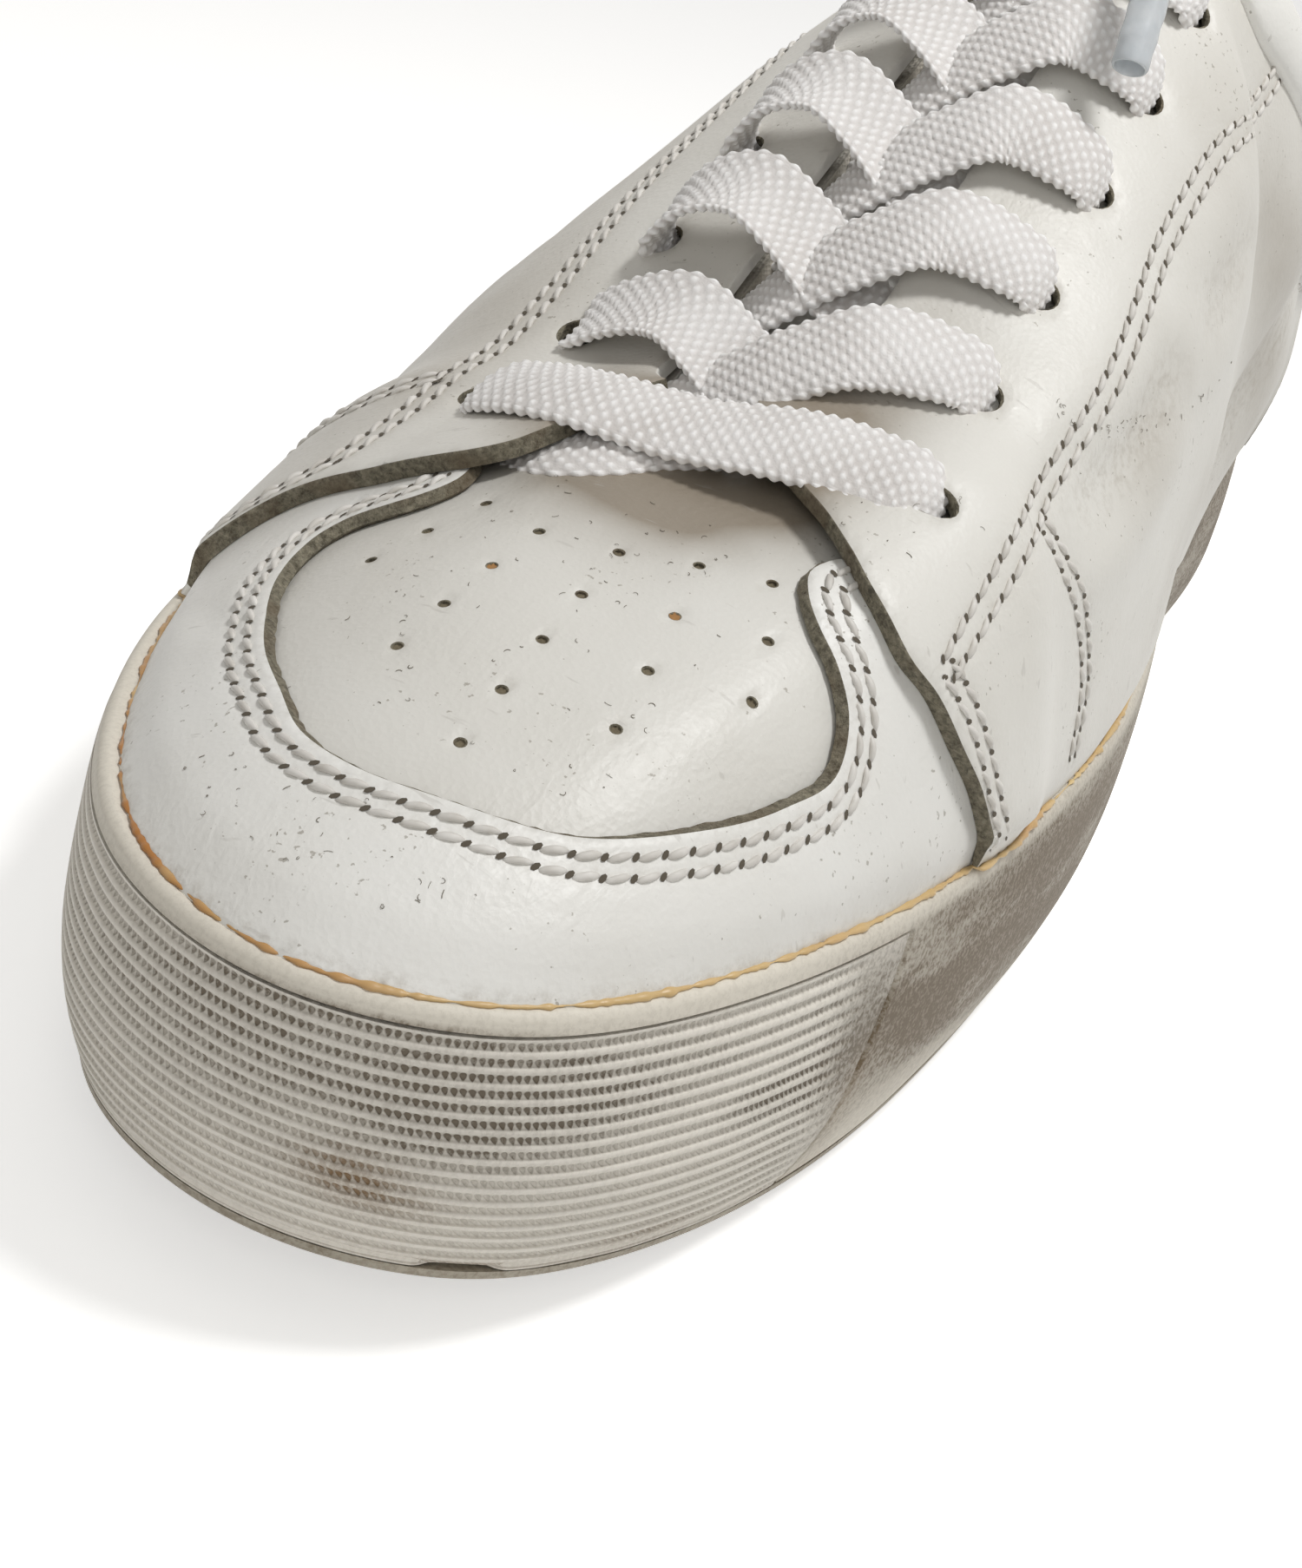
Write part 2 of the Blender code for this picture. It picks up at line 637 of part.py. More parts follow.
# Route in the instep's own axes: back up the slope from the first eyelets, across from the
# throat's middle, and out from the leather.
LACE_END = [(92.0, -5.5, 2.2), (101.0, -8.5, 5.5), (109.0, -6.0, 10.5), (110.0, 0.5, 16.0),
            (103.5, 7.5, 19.5), (94.0, 13.0, 20.2), (85.5, 15.6, 18.8), (78.0, 15.8, 17.4)]
TIP_END = (57.5, 19.4, 9.4)


def instep_point(back, across, lift):
    angle = np.radians(EYELET_SLOPE)
    return np.array([THROAT_MIDDLE + across,
                     FIRST_EYELET + TOE_Y + back * np.cos(angle) - lift * np.sin(angle),
                     THROAT_HEIGHT + back * np.sin(angle) + lift * np.cos(angle)])


def make_lace_end():
    cotton = material("lace_end_cotton", (0.85, 0.85, 0.84), 0.9)
    plastic = material("clear_tip", (0.80, 0.84, 0.86), 0.25)
    route = np.array([instep_point(*place) for place in LACE_END])
    steps = np.linalg.norm(np.diff(route, axis=0), axis=1)
    stations = np.concatenate([[0], np.cumsum(steps)])
    smooth = through(stations, route, np.linspace(0, stations[-1], 16))
    curve = bpy.data.curves.new("lace_end_medial", "CURVE")
    curve.dimensions = "3D"
    curve.bevel_depth = LACE_END_TUBE / 2 * MM
    curve.bevel_resolution = 2
    curve.use_fill_caps = True
    spline = curve.splines.new("POLY")
    spline.points.add(len(smooth) - 1)
    for point, place in zip(spline.points, smooth):
        point.co = (*(place * MM), 1)
    curve.materials.append(cotton)
    bpy.context.collection.objects.link(bpy.data.objects.new("lace_end_medial", curve))

    run = unit(instep_point(*TIP_END) - smooth[-1])
    build = bmesh.new()
    bmesh.ops.create_cone(build, cap_ends=True, segments=12, depth=TIP_LENGTH * MM,
                          radius1=TIP_DIAMETER / 2 * MM, radius2=TIP_DIAMETER / 2 * MM)
    turn = Vector(run).to_track_quat("Z", "Y").to_matrix().to_4x4()
    bmesh.ops.transform(build, matrix=turn, verts=build.verts)
    middle = smooth[-1] + run * (GAP + TIP_LENGTH / 2)
    bmesh.ops.translate(build, vec=Vector(middle) * MM, verts=build.verts)
    mesh = bpy.data.meshes.new("lace_tip_medial")
    build.to_mesh(mesh)
    build.free()
    add_object("lace_tip_medial", mesh, plastic)


for leftover in list(bpy.data.objects):
    bpy.data.objects.remove(leftover)
make_outsole()
make_foxing()
make_toe_bumper()
make_insole()
make_upper()
make_tongue()
make_laces()
make_lace_end()
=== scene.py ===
"""A worn white court sneaker for the right foot, laced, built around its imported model."""

from collections import namedtuple

import bpy
import numpy as np
from mathutils import Matrix, Vector, noise
from mathutils.geometry import delaunay_2d_cdt
from mathutils.kdtree import KDTree


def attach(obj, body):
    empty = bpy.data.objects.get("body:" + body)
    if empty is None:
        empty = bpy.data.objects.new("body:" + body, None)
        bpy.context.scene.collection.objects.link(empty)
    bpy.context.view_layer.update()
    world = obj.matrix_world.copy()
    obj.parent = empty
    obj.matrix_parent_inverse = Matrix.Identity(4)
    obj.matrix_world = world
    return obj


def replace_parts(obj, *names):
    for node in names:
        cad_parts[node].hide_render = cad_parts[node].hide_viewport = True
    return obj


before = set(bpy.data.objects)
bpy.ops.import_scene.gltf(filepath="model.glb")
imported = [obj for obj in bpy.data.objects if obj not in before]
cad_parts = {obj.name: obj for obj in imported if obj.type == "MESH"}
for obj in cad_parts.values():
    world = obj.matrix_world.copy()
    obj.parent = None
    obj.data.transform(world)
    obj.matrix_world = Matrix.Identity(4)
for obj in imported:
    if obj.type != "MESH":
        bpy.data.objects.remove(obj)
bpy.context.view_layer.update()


# ---------------------------------------------------------------- camera
# Looks down on the toe from the front, a little to the medial side, and is rolled so that the
# instep leans to the right.

MM = 0.001
CAMERA_AZIMUTH = 20.25
CAMERA_ELEVATION = 26.62
CAMERA_ROLL = 15.14
CAMERA_DISTANCE = 263.7
CAMERA_TARGET = (5.2, -53.3, 15.8)
CAMERA_LENS = 53.43


def make_camera():
    azimuth, elevation, roll = np.radians((CAMERA_AZIMUTH, CAMERA_ELEVATION, CAMERA_ROLL))
    back = np.array((np.sin(azimuth) * np.cos(elevation), -np.cos(azimuth) * np.cos(elevation),
                     np.sin(elevation)))
    level = np.array((np.cos(azimuth), np.sin(azimuth), 0))
    upright = np.cross(back, level)
    right = np.cos(roll) * level + np.sin(roll) * upright
    up = np.cross(back, right)
    lens = bpy.data.cameras.new("camera")
    lens.lens = CAMERA_LENS
    lens.clip_start = 0.01
    made = bpy.data.objects.new("camera", lens)
    turned = Matrix(np.stack([right, up, back], 1).tolist()).to_4x4()
    place = Vector(np.array(CAMERA_TARGET) + back * CAMERA_DISTANCE) * MM
    made.matrix_world = Matrix.Translation(place) @ turned
    bpy.context.scene.collection.objects.link(made)
    bpy.context.scene.camera = made


make_camera()


# ---------------------------------------------------------------- last
# The form that the upper is pulled over. Each section goes from the rubber's top up to the
# edge of the opening, and the sections run once round the foot: up the medial side from the
# toe, and back along the lateral side.

TOE_Y = -142.0           # the heel is at +142
THROAT_MIDDLE = 4.7      # across, nearer the big toe
UP = np.array([0.0, 0.0, 1.0])

# along is from the toe, across from the middle line. edge is the opening's edge. rise and fall
# are the slopes there in degrees, pull and reach how far they hold, ledge is the width of the
# rubber's top.
Section = namedtuple("Section", "along across edge_across edge_along edge_height "
                                "rise pull fall reach ledge")
MEDIAL = [
    Section(0, 9.3, 4.7, 80, 61.0, 36, .30, 12, .45, 2.8),
    Section(6, 26.4, 8.8, 80.8, 61.4, 40, .30, 13, .45, 2.8),
    Section(22, 37.8, 12.4, 84, 63.8, 48, .32, 12, .42, 2.8),
    Section(52, 45.9, 13.4, 95, 72.0, 62, .34, 11, .42, 2.8),
    Section(90, 49.2, 12.9, 115, 86.0, 76, .36, 12, .42, 2.8),
    Section(126, 48.2, 12.4, 137, 100.8, 81, .40, 16, .42, 2.8),
    Section(156, 43.8, 13.4, 156, 111.5, 84, .42, 26, .40, 2.8),
    Section(180, 38.6, 23.5, 169, 107.5, 92, .42, 48, .38, 2.8),
    Section(204, 33.8, 32.3, 187, 91.5, 104, .42, 68, .36, 2.8),
    Section(230, 31.6, 32.3, 212, 74.5, 108, .42, 82, .34, 2.8),
    Section(255, 30.2, 30.1, 237, 71.0, 106, .40, 86, .34, 2.8),
    Section(275, 20.9, 20.7, 256, 77.0, 96, .36, 86, .34, 2.8),
    Section(284, 0.8, 2.0, 269, 84.5, 94, .36, 84, .34, 2.8),
]
LATERAL = [
    Section(7, -10.4, 0.6, 80.6, 60.2, 38, .30, 14, .45, 3.4),
    Section(27, -26.6, -3.0, 84, 60.2, 45, .30, 25, .44, 3.8),
    Section(58, -40.4, -4.0, 95, 65.8, 58, .32, 29, .40, 3.4),
    Section(95, -48.0, -3.5, 115, 80.2, 76, .36, 26, .38, 3.0),
    Section(129, -49.2, -3.0, 137, 95.0, 86, .38, 32, .38, 2.8),
    Section(158, -46.6, -4.0, 156, 106.5, 91, .40, 40, .38, 2.8),
    Section(184, -41.3, -11.3, 169, 104.0, 92, .40, 54, .38, 2.8),
    Section(208, -36.0, -17.0, 187, 88.5, 91, .38, 68, .36, 2.8),
    Section(233, -33.8, -23.3, 212, 71.5, 89, .38, 80, .34, 2.8),
    Section(257, -29.7, -22.9, 237, 68.5, 88, .36, 84, .34, 2.8),
    Section(276, -19.0, -15.3, 256, 76.0, 89, .36, 86, .34, 2.8),
]
SECTIONS = MEDIAL + LATERAL[::-1]


class Loop:
    """Closed smooth curve through evenly numbered points, one full turn from 0 to 1."""

    def __init__(self, points):
        self.points = np.array(points, float)
        count = len(self.points)
        system = 4 * np.eye(count)
        system += np.roll(np.eye(count), 1, axis=0) + np.roll(np.eye(count), -1, axis=0)
        step = np.roll(self.points, -1, axis=0) - np.roll(self.points, 1, axis=0)
        self.slopes = np.linalg.solve(system, 3 * step)

    def __call__(self, turn):
        count = len(self.points)
        place = np.asarray(turn) * count
        here = np.floor(place).astype(int)
        part = (place - here)[..., None]
        here, ahead = here % count, (here + 1) % count
        cube, square = part ** 3, part ** 2
        return ((2 * cube - 3 * square + 1) * self.points[here]
                + (cube - 2 * square + part) * self.slopes[here]
                + (3 * square - 2 * cube) * self.points[ahead]
                + (cube - square) * self.slopes[ahead])

    def slope(self, turn):
        return (self(np.asarray(turn) + 1e-4) - self(np.asarray(turn) - 1e-4)) / 2e-4


def column(name):
    return np.array([getattr(section, name) for section in SECTIONS], float)


OUTLINE = Loop(np.stack([column("across"), column("along") + TOE_Y], 1))
OPENING = Loop(np.stack([column("edge_across"), column("edge_along") + TOE_Y,
                         column("edge_height")], 1))
SLOPES = Loop(np.stack([column("rise"), column("pull"), column("fall"), column("reach"),
                        column("ledge")], 1))


def unit(vectors):
    return vectors / np.linalg.norm(vectors, axis=-1, keepdims=True)


def eased(value):
    """0 to 1 with level ends."""
    value = np.clip(value, 0, 1)
    return value * value * (3 - 2 * value)


def inset(turn, depth):
    """Points of the outline in plan, moved in by depth."""
    slope = OUTLINE.slope(turn)
    inward = unit(np.stack([-slope[..., 1], slope[..., 0]], -1))
    return OUTLINE(turn) + inward * np.broadcast_to(depth, np.shape(turn))[..., None]


def rubber_height(y):
    """Top of the rubber wall: 30 mm at the waist, more at the toe and the heel."""
    along = y - TOE_Y
    return 30.0 + 4.6 * (1 - eased(along / 110)) + 1.5 * eased((along - 190) / 80)


def form(places):
    """Points of the form at places (turn, climb): climb 0 at the rubber, 1 at the opening."""
    turn, climb = places[..., 0], places[..., 1:2]
    slopes = SLOPES(turn)
    rise, fall = np.radians(slopes[..., 0:1]), np.radians(slopes[..., 2:3])
    foot = inset(turn, slopes[..., 4])
    foot = np.concatenate([foot, rubber_height(foot[..., 1:2])], -1)
    run = OUTLINE.slope(turn)
    inward = unit(np.stack([-run[..., 1], run[..., 0]], -1))
    edge = OPENING(turn)
    outward = unit(np.cross(unit(OPENING.slope(turn)), UP))
    span = np.linalg.norm(edge - foot, axis=-1, keepdims=True)
    leave = np.concatenate([inward * np.cos(rise), np.sin(rise)], -1) * span * slopes[..., 1:2]
    meet = (np.cos(fall) * outward - np.sin(fall) * UP) * span * slopes[..., 3:4]
    left = 1 - climb
    return (left ** 3 * foot + 3 * left ** 2 * climb * (foot + leave)
            + 3 * left * climb ** 2 * (edge + meet) + climb ** 3 * edge)


STEP = 1e-4


def form_frame(places):
    """Points of the form, with its slopes along turn and climb and its outward normal."""
    here = form(places)
    back = np.where(places[..., 1:2] > 0.5, -STEP, STEP)
    around = (form(places + (STEP, 0)) - here) / STEP
    uphill = (form(places + np.concatenate([0 * back, back], -1)) - here) / back
    return here, around, uphill, unit(np.cross(around, uphill))


# places all over the form, to start a search from
GRID_TURNS = 900
GRID_CLIMBS = 90
GRID = np.stack(np.meshgrid(np.arange(GRID_TURNS) / GRID_TURNS, np.linspace(0, 1, GRID_CLIMBS),
                            indexing="ij"), -1).reshape(-1, 2)
TREE = KDTree(len(GRID))
for number, point in enumerate(form(GRID)):
    TREE.insert(point, number)
TREE.balance()


def locate(points):
    """Places (turn, climb) of the form that are nearest to points in space."""
    points = np.asarray(points, float)
    places = GRID[[TREE.find(point)[1] for point in points]].copy()
    for _ in range(4):
        here, around, uphill, _ = form_frame(places)
        gap = points - here
        aa, ab, bb = (np.sum(p * q, -1) for p, q in ((around, around), (around, uphill),
                                                     (uphill, uphill)))
        ga, gb = np.sum(around * gap, -1), np.sum(uphill * gap, -1)
        spread = aa * bb - ab * ab
        shift = np.stack([bb * ga - ab * gb, aa * gb - ab * ga], -1) / spread[:, None]
        places += np.clip(shift, -0.02, 0.02)
        places[:, 1] = np.clip(places[:, 1], 0, 1)
    return places


# ---------------------------------------------------------------- laces
# One flat white cotton lace, 10 mm wide, coarsely woven with a rope-like edge on both sides. It
# goes straight across the first pair of eyelets, then crosses up the throat, down into each
# eyelet from outside.

EYELET_ROWS = 6
EYELET_PITCH = 16.7
EYELET_SLOPE = np.radians(32.7)
EYELET_RADIUS = 2.4
FIRST_EYELET = 78.8      # behind the toe, at an even pitch
FIRST_HEIGHT = 58.0
FIRST_SPREAD = 23.5      # eyelets from the throat's middle
SPREAD_STEP = 1.29       # closer together in each row up
FIRST_FORWARD = {1: 2.8, -1: 1.4}   # the first pair lies this much nearer the toe,
FIRST_WIDER = {1: 1.4, -1: 0.0}     # and this much farther out, by side
GAP_EDGE = 0.45          # of the way to the eyelets, where the facings end
LACE_WIDTH = 10.0
LACE_THICKNESS = 1.3
DOT_ALONG = 0.82         # between the staggered dots, half of the pitch in one row
DOT_ACROSS = 0.98        # between their rows
DOT_HEIGHT = 0.22
LACE_GRAIN = 0.22        # spacing of the mesh, fine enough for the dots
UPHILL = np.array([0.0, np.cos(EYELET_SLOPE), np.sin(EYELET_SLOPE)])

LacePoint = namedtuple("LacePoint", "rows across lift width twist")
BAR = [
    LacePoint(0.00, -0.92, -3.0, 4.4, 0), LacePoint(0.00, -0.99, 2.4, 7.4, -4),
    LacePoint(-0.04, -0.93, 5.2, 9.2, -10), LacePoint(-0.20, -0.72, 5.9, 10.2, -15),
    LacePoint(-0.34, -0.40, 5.6, 10.2, -15), LacePoint(-0.26, 0.05, 4.8, 10.2, -10),
    LacePoint(-0.14, 0.48, 5.3, 10.0, -4), LacePoint(-0.05, 0.78, 5.3, 9.4, 0),
    LacePoint(0.00, 0.96, 4.6, 8.6, 0), LacePoint(0.00, 1.03, 2.6, 7.0, 0),
    LacePoint(0.00, 0.98, -3.0, 4.4, 0),
]
MEDIAL_STRAP = [
    LacePoint(-0.98, -0.66, -4.0, 9.0, 0), LacePoint(-0.80, -0.36, -0.6, 9.6, 4),
    LacePoint(-0.60, -0.08, 2.8, 10.0, 10), LacePoint(-0.38, 0.18, 5.0, 9.8, 14),
    LacePoint(-0.17, 0.48, 5.7, 9.8, 12), LacePoint(-0.05, 0.76, 4.9, 9.4, 6),
    LacePoint(0.00, 0.97, 3.6, 8.6, 0), LacePoint(0.00, 1.03, 1.8, 7.0, 0),
    LacePoint(0.00, 0.99, -3.0, 4.4, 0),
]
LATERAL_STRAP = [
    LacePoint(-0.98, 0.66, -4.0, 9.0, 0), LacePoint(-0.76, 0.36, -1.2, 9.6, 0),
    LacePoint(-0.50, 0.10, 1.8, 10.0, 0), LacePoint(-0.22, -0.16, 4.8, 10.0, 0),
    LacePoint(0.02, -0.46, 7.4, 10.2, 0), LacePoint(0.07, -0.72, 7.0, 9.8, 0),
    LacePoint(0.05, -0.90, 4.9, 9.6, 0), LacePoint(0.02, -0.99, 2.8, 8.8, 0),
    LacePoint(0.00, -1.01, 1.2, 7.0, 0), LacePoint(0.00, -0.96, -3.0, 4.4, 0),
]
FLATTER = 0.66           # the first crossing's lateral strap is pulled tight


def through(stations, values, at):
    """Smooth curve through rows of values, read at other stations."""
    values = np.array(values, float)
    slopes = np.gradient(values, stations, axis=0)
    step = np.clip(np.searchsorted(stations, at, side="right") - 1, 0, len(stations) - 2)
    width = np.diff(stations)[step][:, None]
    part = (at - stations[step])[:, None] / width
    rise = part * part * (3 - 2 * part)
    return (values[step] * (1 - rise) + values[step + 1] * rise
            + width * part * (1 - part) * (slopes[step] * (1 - part) - slopes[step + 1] * part))


def lengths_along(points):
    """Length of a line from its first point to each point of it."""
    return np.concatenate([[0], np.cumsum(np.linalg.norm(np.diff(points, axis=0), axis=1))])


def settled(places, plan):
    """Places moved over the form until they lie at plan, across and along, with their points
    and normals."""
    for _ in range(6):
        here, around, uphill, normal = form_frame(places)
        slopes = np.stack([around[:, :2], uphill[:, :2]], -1)
        gap = (plan - here[:, :2])[..., None]
        places = places + np.clip(np.linalg.solve(slopes, gap)[..., 0], -0.02, 0.02)
    return places, here, normal


def eyelet_place(row, side, share=1.0):
    """Place over an eyelet, or at a share of the way to it from the throat's middle."""
    below = np.clip(1 - row, 0, 1)
    back = FIRST_EYELET + EYELET_PITCH * np.cos(EYELET_SLOPE) * row + TOE_Y
    back -= FIRST_FORWARD[side] * below
    spread = FIRST_SPREAD - SPREAD_STEP * row + FIRST_WIDER[side] * below
    across = THROAT_MIDDLE + side * share * spread
    height = FIRST_HEIGHT + EYELET_PITCH * np.sin(EYELET_SLOPE) * row
    places, here, normal = settled(locate([(across, back, height)]), (across, back))
    return places[0], here[0], normal[0]


def lace_point(row, across, lift):
    """A point over the facings, or over the gap between them."""
    if abs(across) >= GAP_EDGE:
        _, point, normal = eyelet_place(row, np.sign(across), abs(across))
    else:
        _, left, left_normal = eyelet_place(row, -1, GAP_EDGE)
        _, right, right_normal = eyelet_place(row, 1, GAP_EDGE)
        part = (across + GAP_EDGE) / (2 * GAP_EDGE)
        point = left + (right - left) * part
        normal = unit(left_normal + (right_normal - left_normal) * part)
    return point + normal * lift


def to_linear(code):
    """Linear colour of an sRGB hex code such as #F0EEE8."""
    value = np.array([int(code[i:i + 2], 16) for i in (1, 3, 5)]) / 255
    return (*np.where(value <= 0.04045, value / 12.92, ((value + 0.055) / 1.055) ** 2.4), 1.0)


def wire(node, *inputs, **settings):
    """Sets up a node. A setting is a property or an input, whose value is a number, a colour's hex
    code, or the node or socket that it is joined to. Inputs without a name come in order."""
    for name, value in [*enumerate(inputs), *settings.items()]:
        if isinstance(name, str) and hasattr(node, name):
            setattr(node, name, value)
            continue
        socket = node.inputs[name.replace("_", " ") if isinstance(name, str) else name]
        if isinstance(value, bpy.types.Node):
            value = next(output for output in value.outputs if output.enabled)
        if isinstance(value, bpy.types.NodeSocket):
            node.id_data.links.new(value, socket)
        else:
            socket.default_value = to_linear(value) if isinstance(value, str) else value
    return node


def add_node(tree, kind, *inputs, **settings):
    """Adds a node with its settings and links."""
    return wire(tree.nodes.new("ShaderNode" + kind), *inputs, **settings)


def new_material(name, **settings):
    """Material with one Principled shader, whose inputs get the settings."""
    made = bpy.data.materials.new(name)
    made.use_nodes = True
    shader = wire(made.node_tree.nodes["Principled BSDF"], **settings)
    return made, made.node_tree, shader


def add_piece(name, points, faces, finishes, sharp=None, marks=None, indices=None):
    """Mesh object in metres from points in millimetres, riding on the shoe."""
    mesh = bpy.data.meshes.new(name)
    mesh.from_pydata(np.asarray(points) * MM, [], faces)
    mesh.validate()
    for finish in finishes:
        mesh.materials.append(finish)
    if indices is not None:
        mesh.polygons.foreach_set("material_index", np.asarray(indices, np.int32))
    for mark, values in (marks or {}).items():
        layer = mesh.attributes.new(mark, "FLOAT", "POINT")
        layer.data.foreach_set("value", np.asarray(values, np.float32))
    mesh.shade_smooth()
    if sharp:
        mesh.set_sharp_from_angle(angle=np.radians(sharp))
    made = bpy.data.objects.new(name, mesh)
    bpy.context.scene.collection.objects.link(made)
    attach(made, "root")
    return made


def grid_faces(rows, columns, wrap_rows=False, wrap_columns=False):
    """Quads of a grid whose points are numbered row by row."""
    return [(r * columns + c, r * columns + (c + 1) % columns,
             (r + 1) % rows * columns + (c + 1) % columns, (r + 1) % rows * columns + c)
            for r in range(rows if wrap_rows else rows - 1)
            for c in range(columns if wrap_columns else columns - 1)]


def tube_faces(rings, around):
    """Quads of a tube of points numbered ring by ring, with a face over each end."""
    return grid_faces(rings, around, False, True) + [
        tuple(range(around))[::-1], tuple(range((rings - 1) * around, rings * around))]


def cotton_finish():
    """Bleached cotton, woven: dull, with fine threads, and grey painted shade between the dots."""
    made, tree, shader = new_material("bleached_woven_cotton", Roughness=0.9, Sheen_Weight=0.25)
    place = add_node(tree, "TexCoord").outputs["Object"]
    hollow = add_node(tree, "Attribute", attribute_name="hollow")
    grey = add_node(tree, "TexNoise", Vector=place, Scale=90.0, Detail=3.0)
    patchy = add_node(tree, "MapRange", grey, 0.3, 0.7, 0.55, 1.0)
    amount = add_node(tree, "Math", hollow.outputs["Fac"], patchy, operation="MULTIPLY")
    # painted shade: the ground between the dots, marked hollow, is mixed unevenly towards grey
    colour = add_node(tree, "Mix", data_type="RGBA", Factor=amount, A="#FDFCFB", B="#C6C0BB")
    # threads 0.12 mm thick, drawn at twice that
    threads = add_node(tree, "TexNoise", Vector=place, Scale=4200.0, Detail=1.0)
    bump = add_node(tree, "Bump", Height=threads, Strength=0.5, Distance=0.0001)
    wire(shader, Base_Color=colour, Normal=bump)
    return made


COTTON = cotton_finish()
SECTION_ANGLES = np.linspace(0, 2 * np.pi, 64, endpoint=False)


def carried(run, first):
    """Directions across a run that start at first and turn no more than the run does."""
    sides = [first]
    for step in run:
        sides.append(unit(sides[-1] - step * (step @ sides[-1])))
    return np.array(sides[1:])


def woven_lace(name, route, widths, twists, first_side=None):
    """Flat woven lace along a route of points, with raised dots on both of its faces. It lies
    level across the instep, or starts at first_side and turns with the route."""
    stations = lengths_along(route)
    at = np.linspace(0, stations[-1], int(stations[-1] / LACE_GRAIN))
    centre = through(stations, route, at)
    widths = np.interp(at, stations, widths)
    twists = np.radians(np.interp(at, stations, twists))[:, None]
    run = unit(np.gradient(centre, axis=0))
    if first_side is None:
        side = unit(UPHILL - run * np.sum(run * UPHILL, -1, keepdims=True))
    else:
        side = carried(run, first_side)
    face = np.cross(run, side)
    side, face = (side * np.cos(twists) + face * np.sin(twists),
                  face * np.cos(twists) - side * np.sin(twists))
    # a flat section with round edges, about evenly spaced points
    flat = np.sign(np.cos(SECTION_ANGLES)) * np.abs(np.cos(SECTION_ANGLES)) ** 0.9
    thick = np.sign(np.sin(SECTION_ANGLES)) * np.abs(np.sin(SECTION_ANGLES)) ** 0.42
    across = flat[None, :] * LACE_WIDTH / 2
    wave = np.cos(np.pi * at[:, None] / DOT_ALONG) * np.cos(np.pi * across / DOT_ACROSS)
    wave = 1.7 * np.clip(wave - 0.12, 0, None) ** 0.75 - 0.6
    middle = np.abs(flat)[None, :] < 0.9
    rope = np.cos(2 * np.pi * at[:, None] / (1.9 * DOT_ALONG) + 1.5 * thick[None, :])
    relief = DOT_HEIGHT * np.where(middle, wave, 0.9 * rope)
    bow = 0.06 * widths[:, None] * (flat[None, :] ** 2)
    body = (LACE_THICKNESS / 2 + relief) * thick[None, :] - bow
    spread = flat[None, :] * (widths[:, None] / 2 + np.where(middle, 0, 0.6 * relief))
    points = (centre[:, None] + side[:, None] * spread[..., None]
              + face[:, None] * body[..., None])
    count, around = points.shape[:2]
    # hollow marks the ground between the raised dots, which the cotton's colour darkens as painted
    # shade
    hollow = np.clip(0.42 - relief / DOT_HEIGHT / 1.6, 0, 1) * np.ones((count, 1))
    return add_piece(name, points.reshape(-1, 3), tube_faces(count, around), [COTTON],
                     marks={"hollow": hollow.ravel()})


def lace_strap(name, row, route, height=1.0):
    points = np.array([lace_point(row + step.rows, step.across, height * step.lift)
                       for step in route])
    return woven_lace(name, points, [step.width for step in route],
                      [step.twist for step in route])


# The free end comes up between the tongue and the last crossings, loops over and hangs down on
# the medial side, where its tip lies on the crossings. Places along it are measured on the
# instep: back from the first eyelets, across, and up from the throat.
LaceEnd = namedtuple("LaceEnd", "back across lift")
LACE_END = [
    LaceEnd(92, -5.5, 2.2), LaceEnd(101, -8.5, 5.5), LaceEnd(109, -6, 10.5),
    LaceEnd(110, 0.5, 16), LaceEnd(103.5, 7.5, 19.5), LaceEnd(94, 13, 20.2),
    LaceEnd(85.5, 15.6, 18.8), LaceEnd(78, 15.8, 17.4),
]
TIP_END = LaceEnd(57.5, 19.4, 9.4)
LACE_END_WIDTHS = [7.5, 9.0, 9.6, 9.8, 9.8, 9.4, 7.0, 3.6]
TIP_RADIUS = 1.95
TIP_WALL = 0.45
TIP_LENGTH = 21.0
THROAT_HEIGHT = 60.5


def instep_point(place):
    rise = np.array([0.0, -np.sin(EYELET_SLOPE), np.cos(EYELET_SLOPE)])
    start = np.array([THROAT_MIDDLE + place.across, FIRST_EYELET + TOE_Y, THROAT_HEIGHT])
    return start + place.back * UPHILL + place.lift * rise


def tip_finish():
    """Clear acetate film rolled round the lace's end: bluish, glossy, and milky with wear."""
    made, tree, shader = new_material("clear_acetate_tip", Roughness=0.22, IOR=1.48,
                                      Transmission_Weight=0.35, Base_Color="#E3E9EE")
    place = add_node(tree, "TexCoord").outputs["Object"]
    milk = add_node(tree, "TexNoise", Vector=place, Scale=480.0, Detail=3.0)
    colour = add_node(tree, "Mix", data_type="RGBA", Factor=milk, A="#C9D0D6", B="#F1F4F6")
    bump = add_node(tree, "Bump", Height=milk, Strength=0.35, Distance=0.0002)
    wire(shader, Base_Color=colour, Normal=bump)
    return made


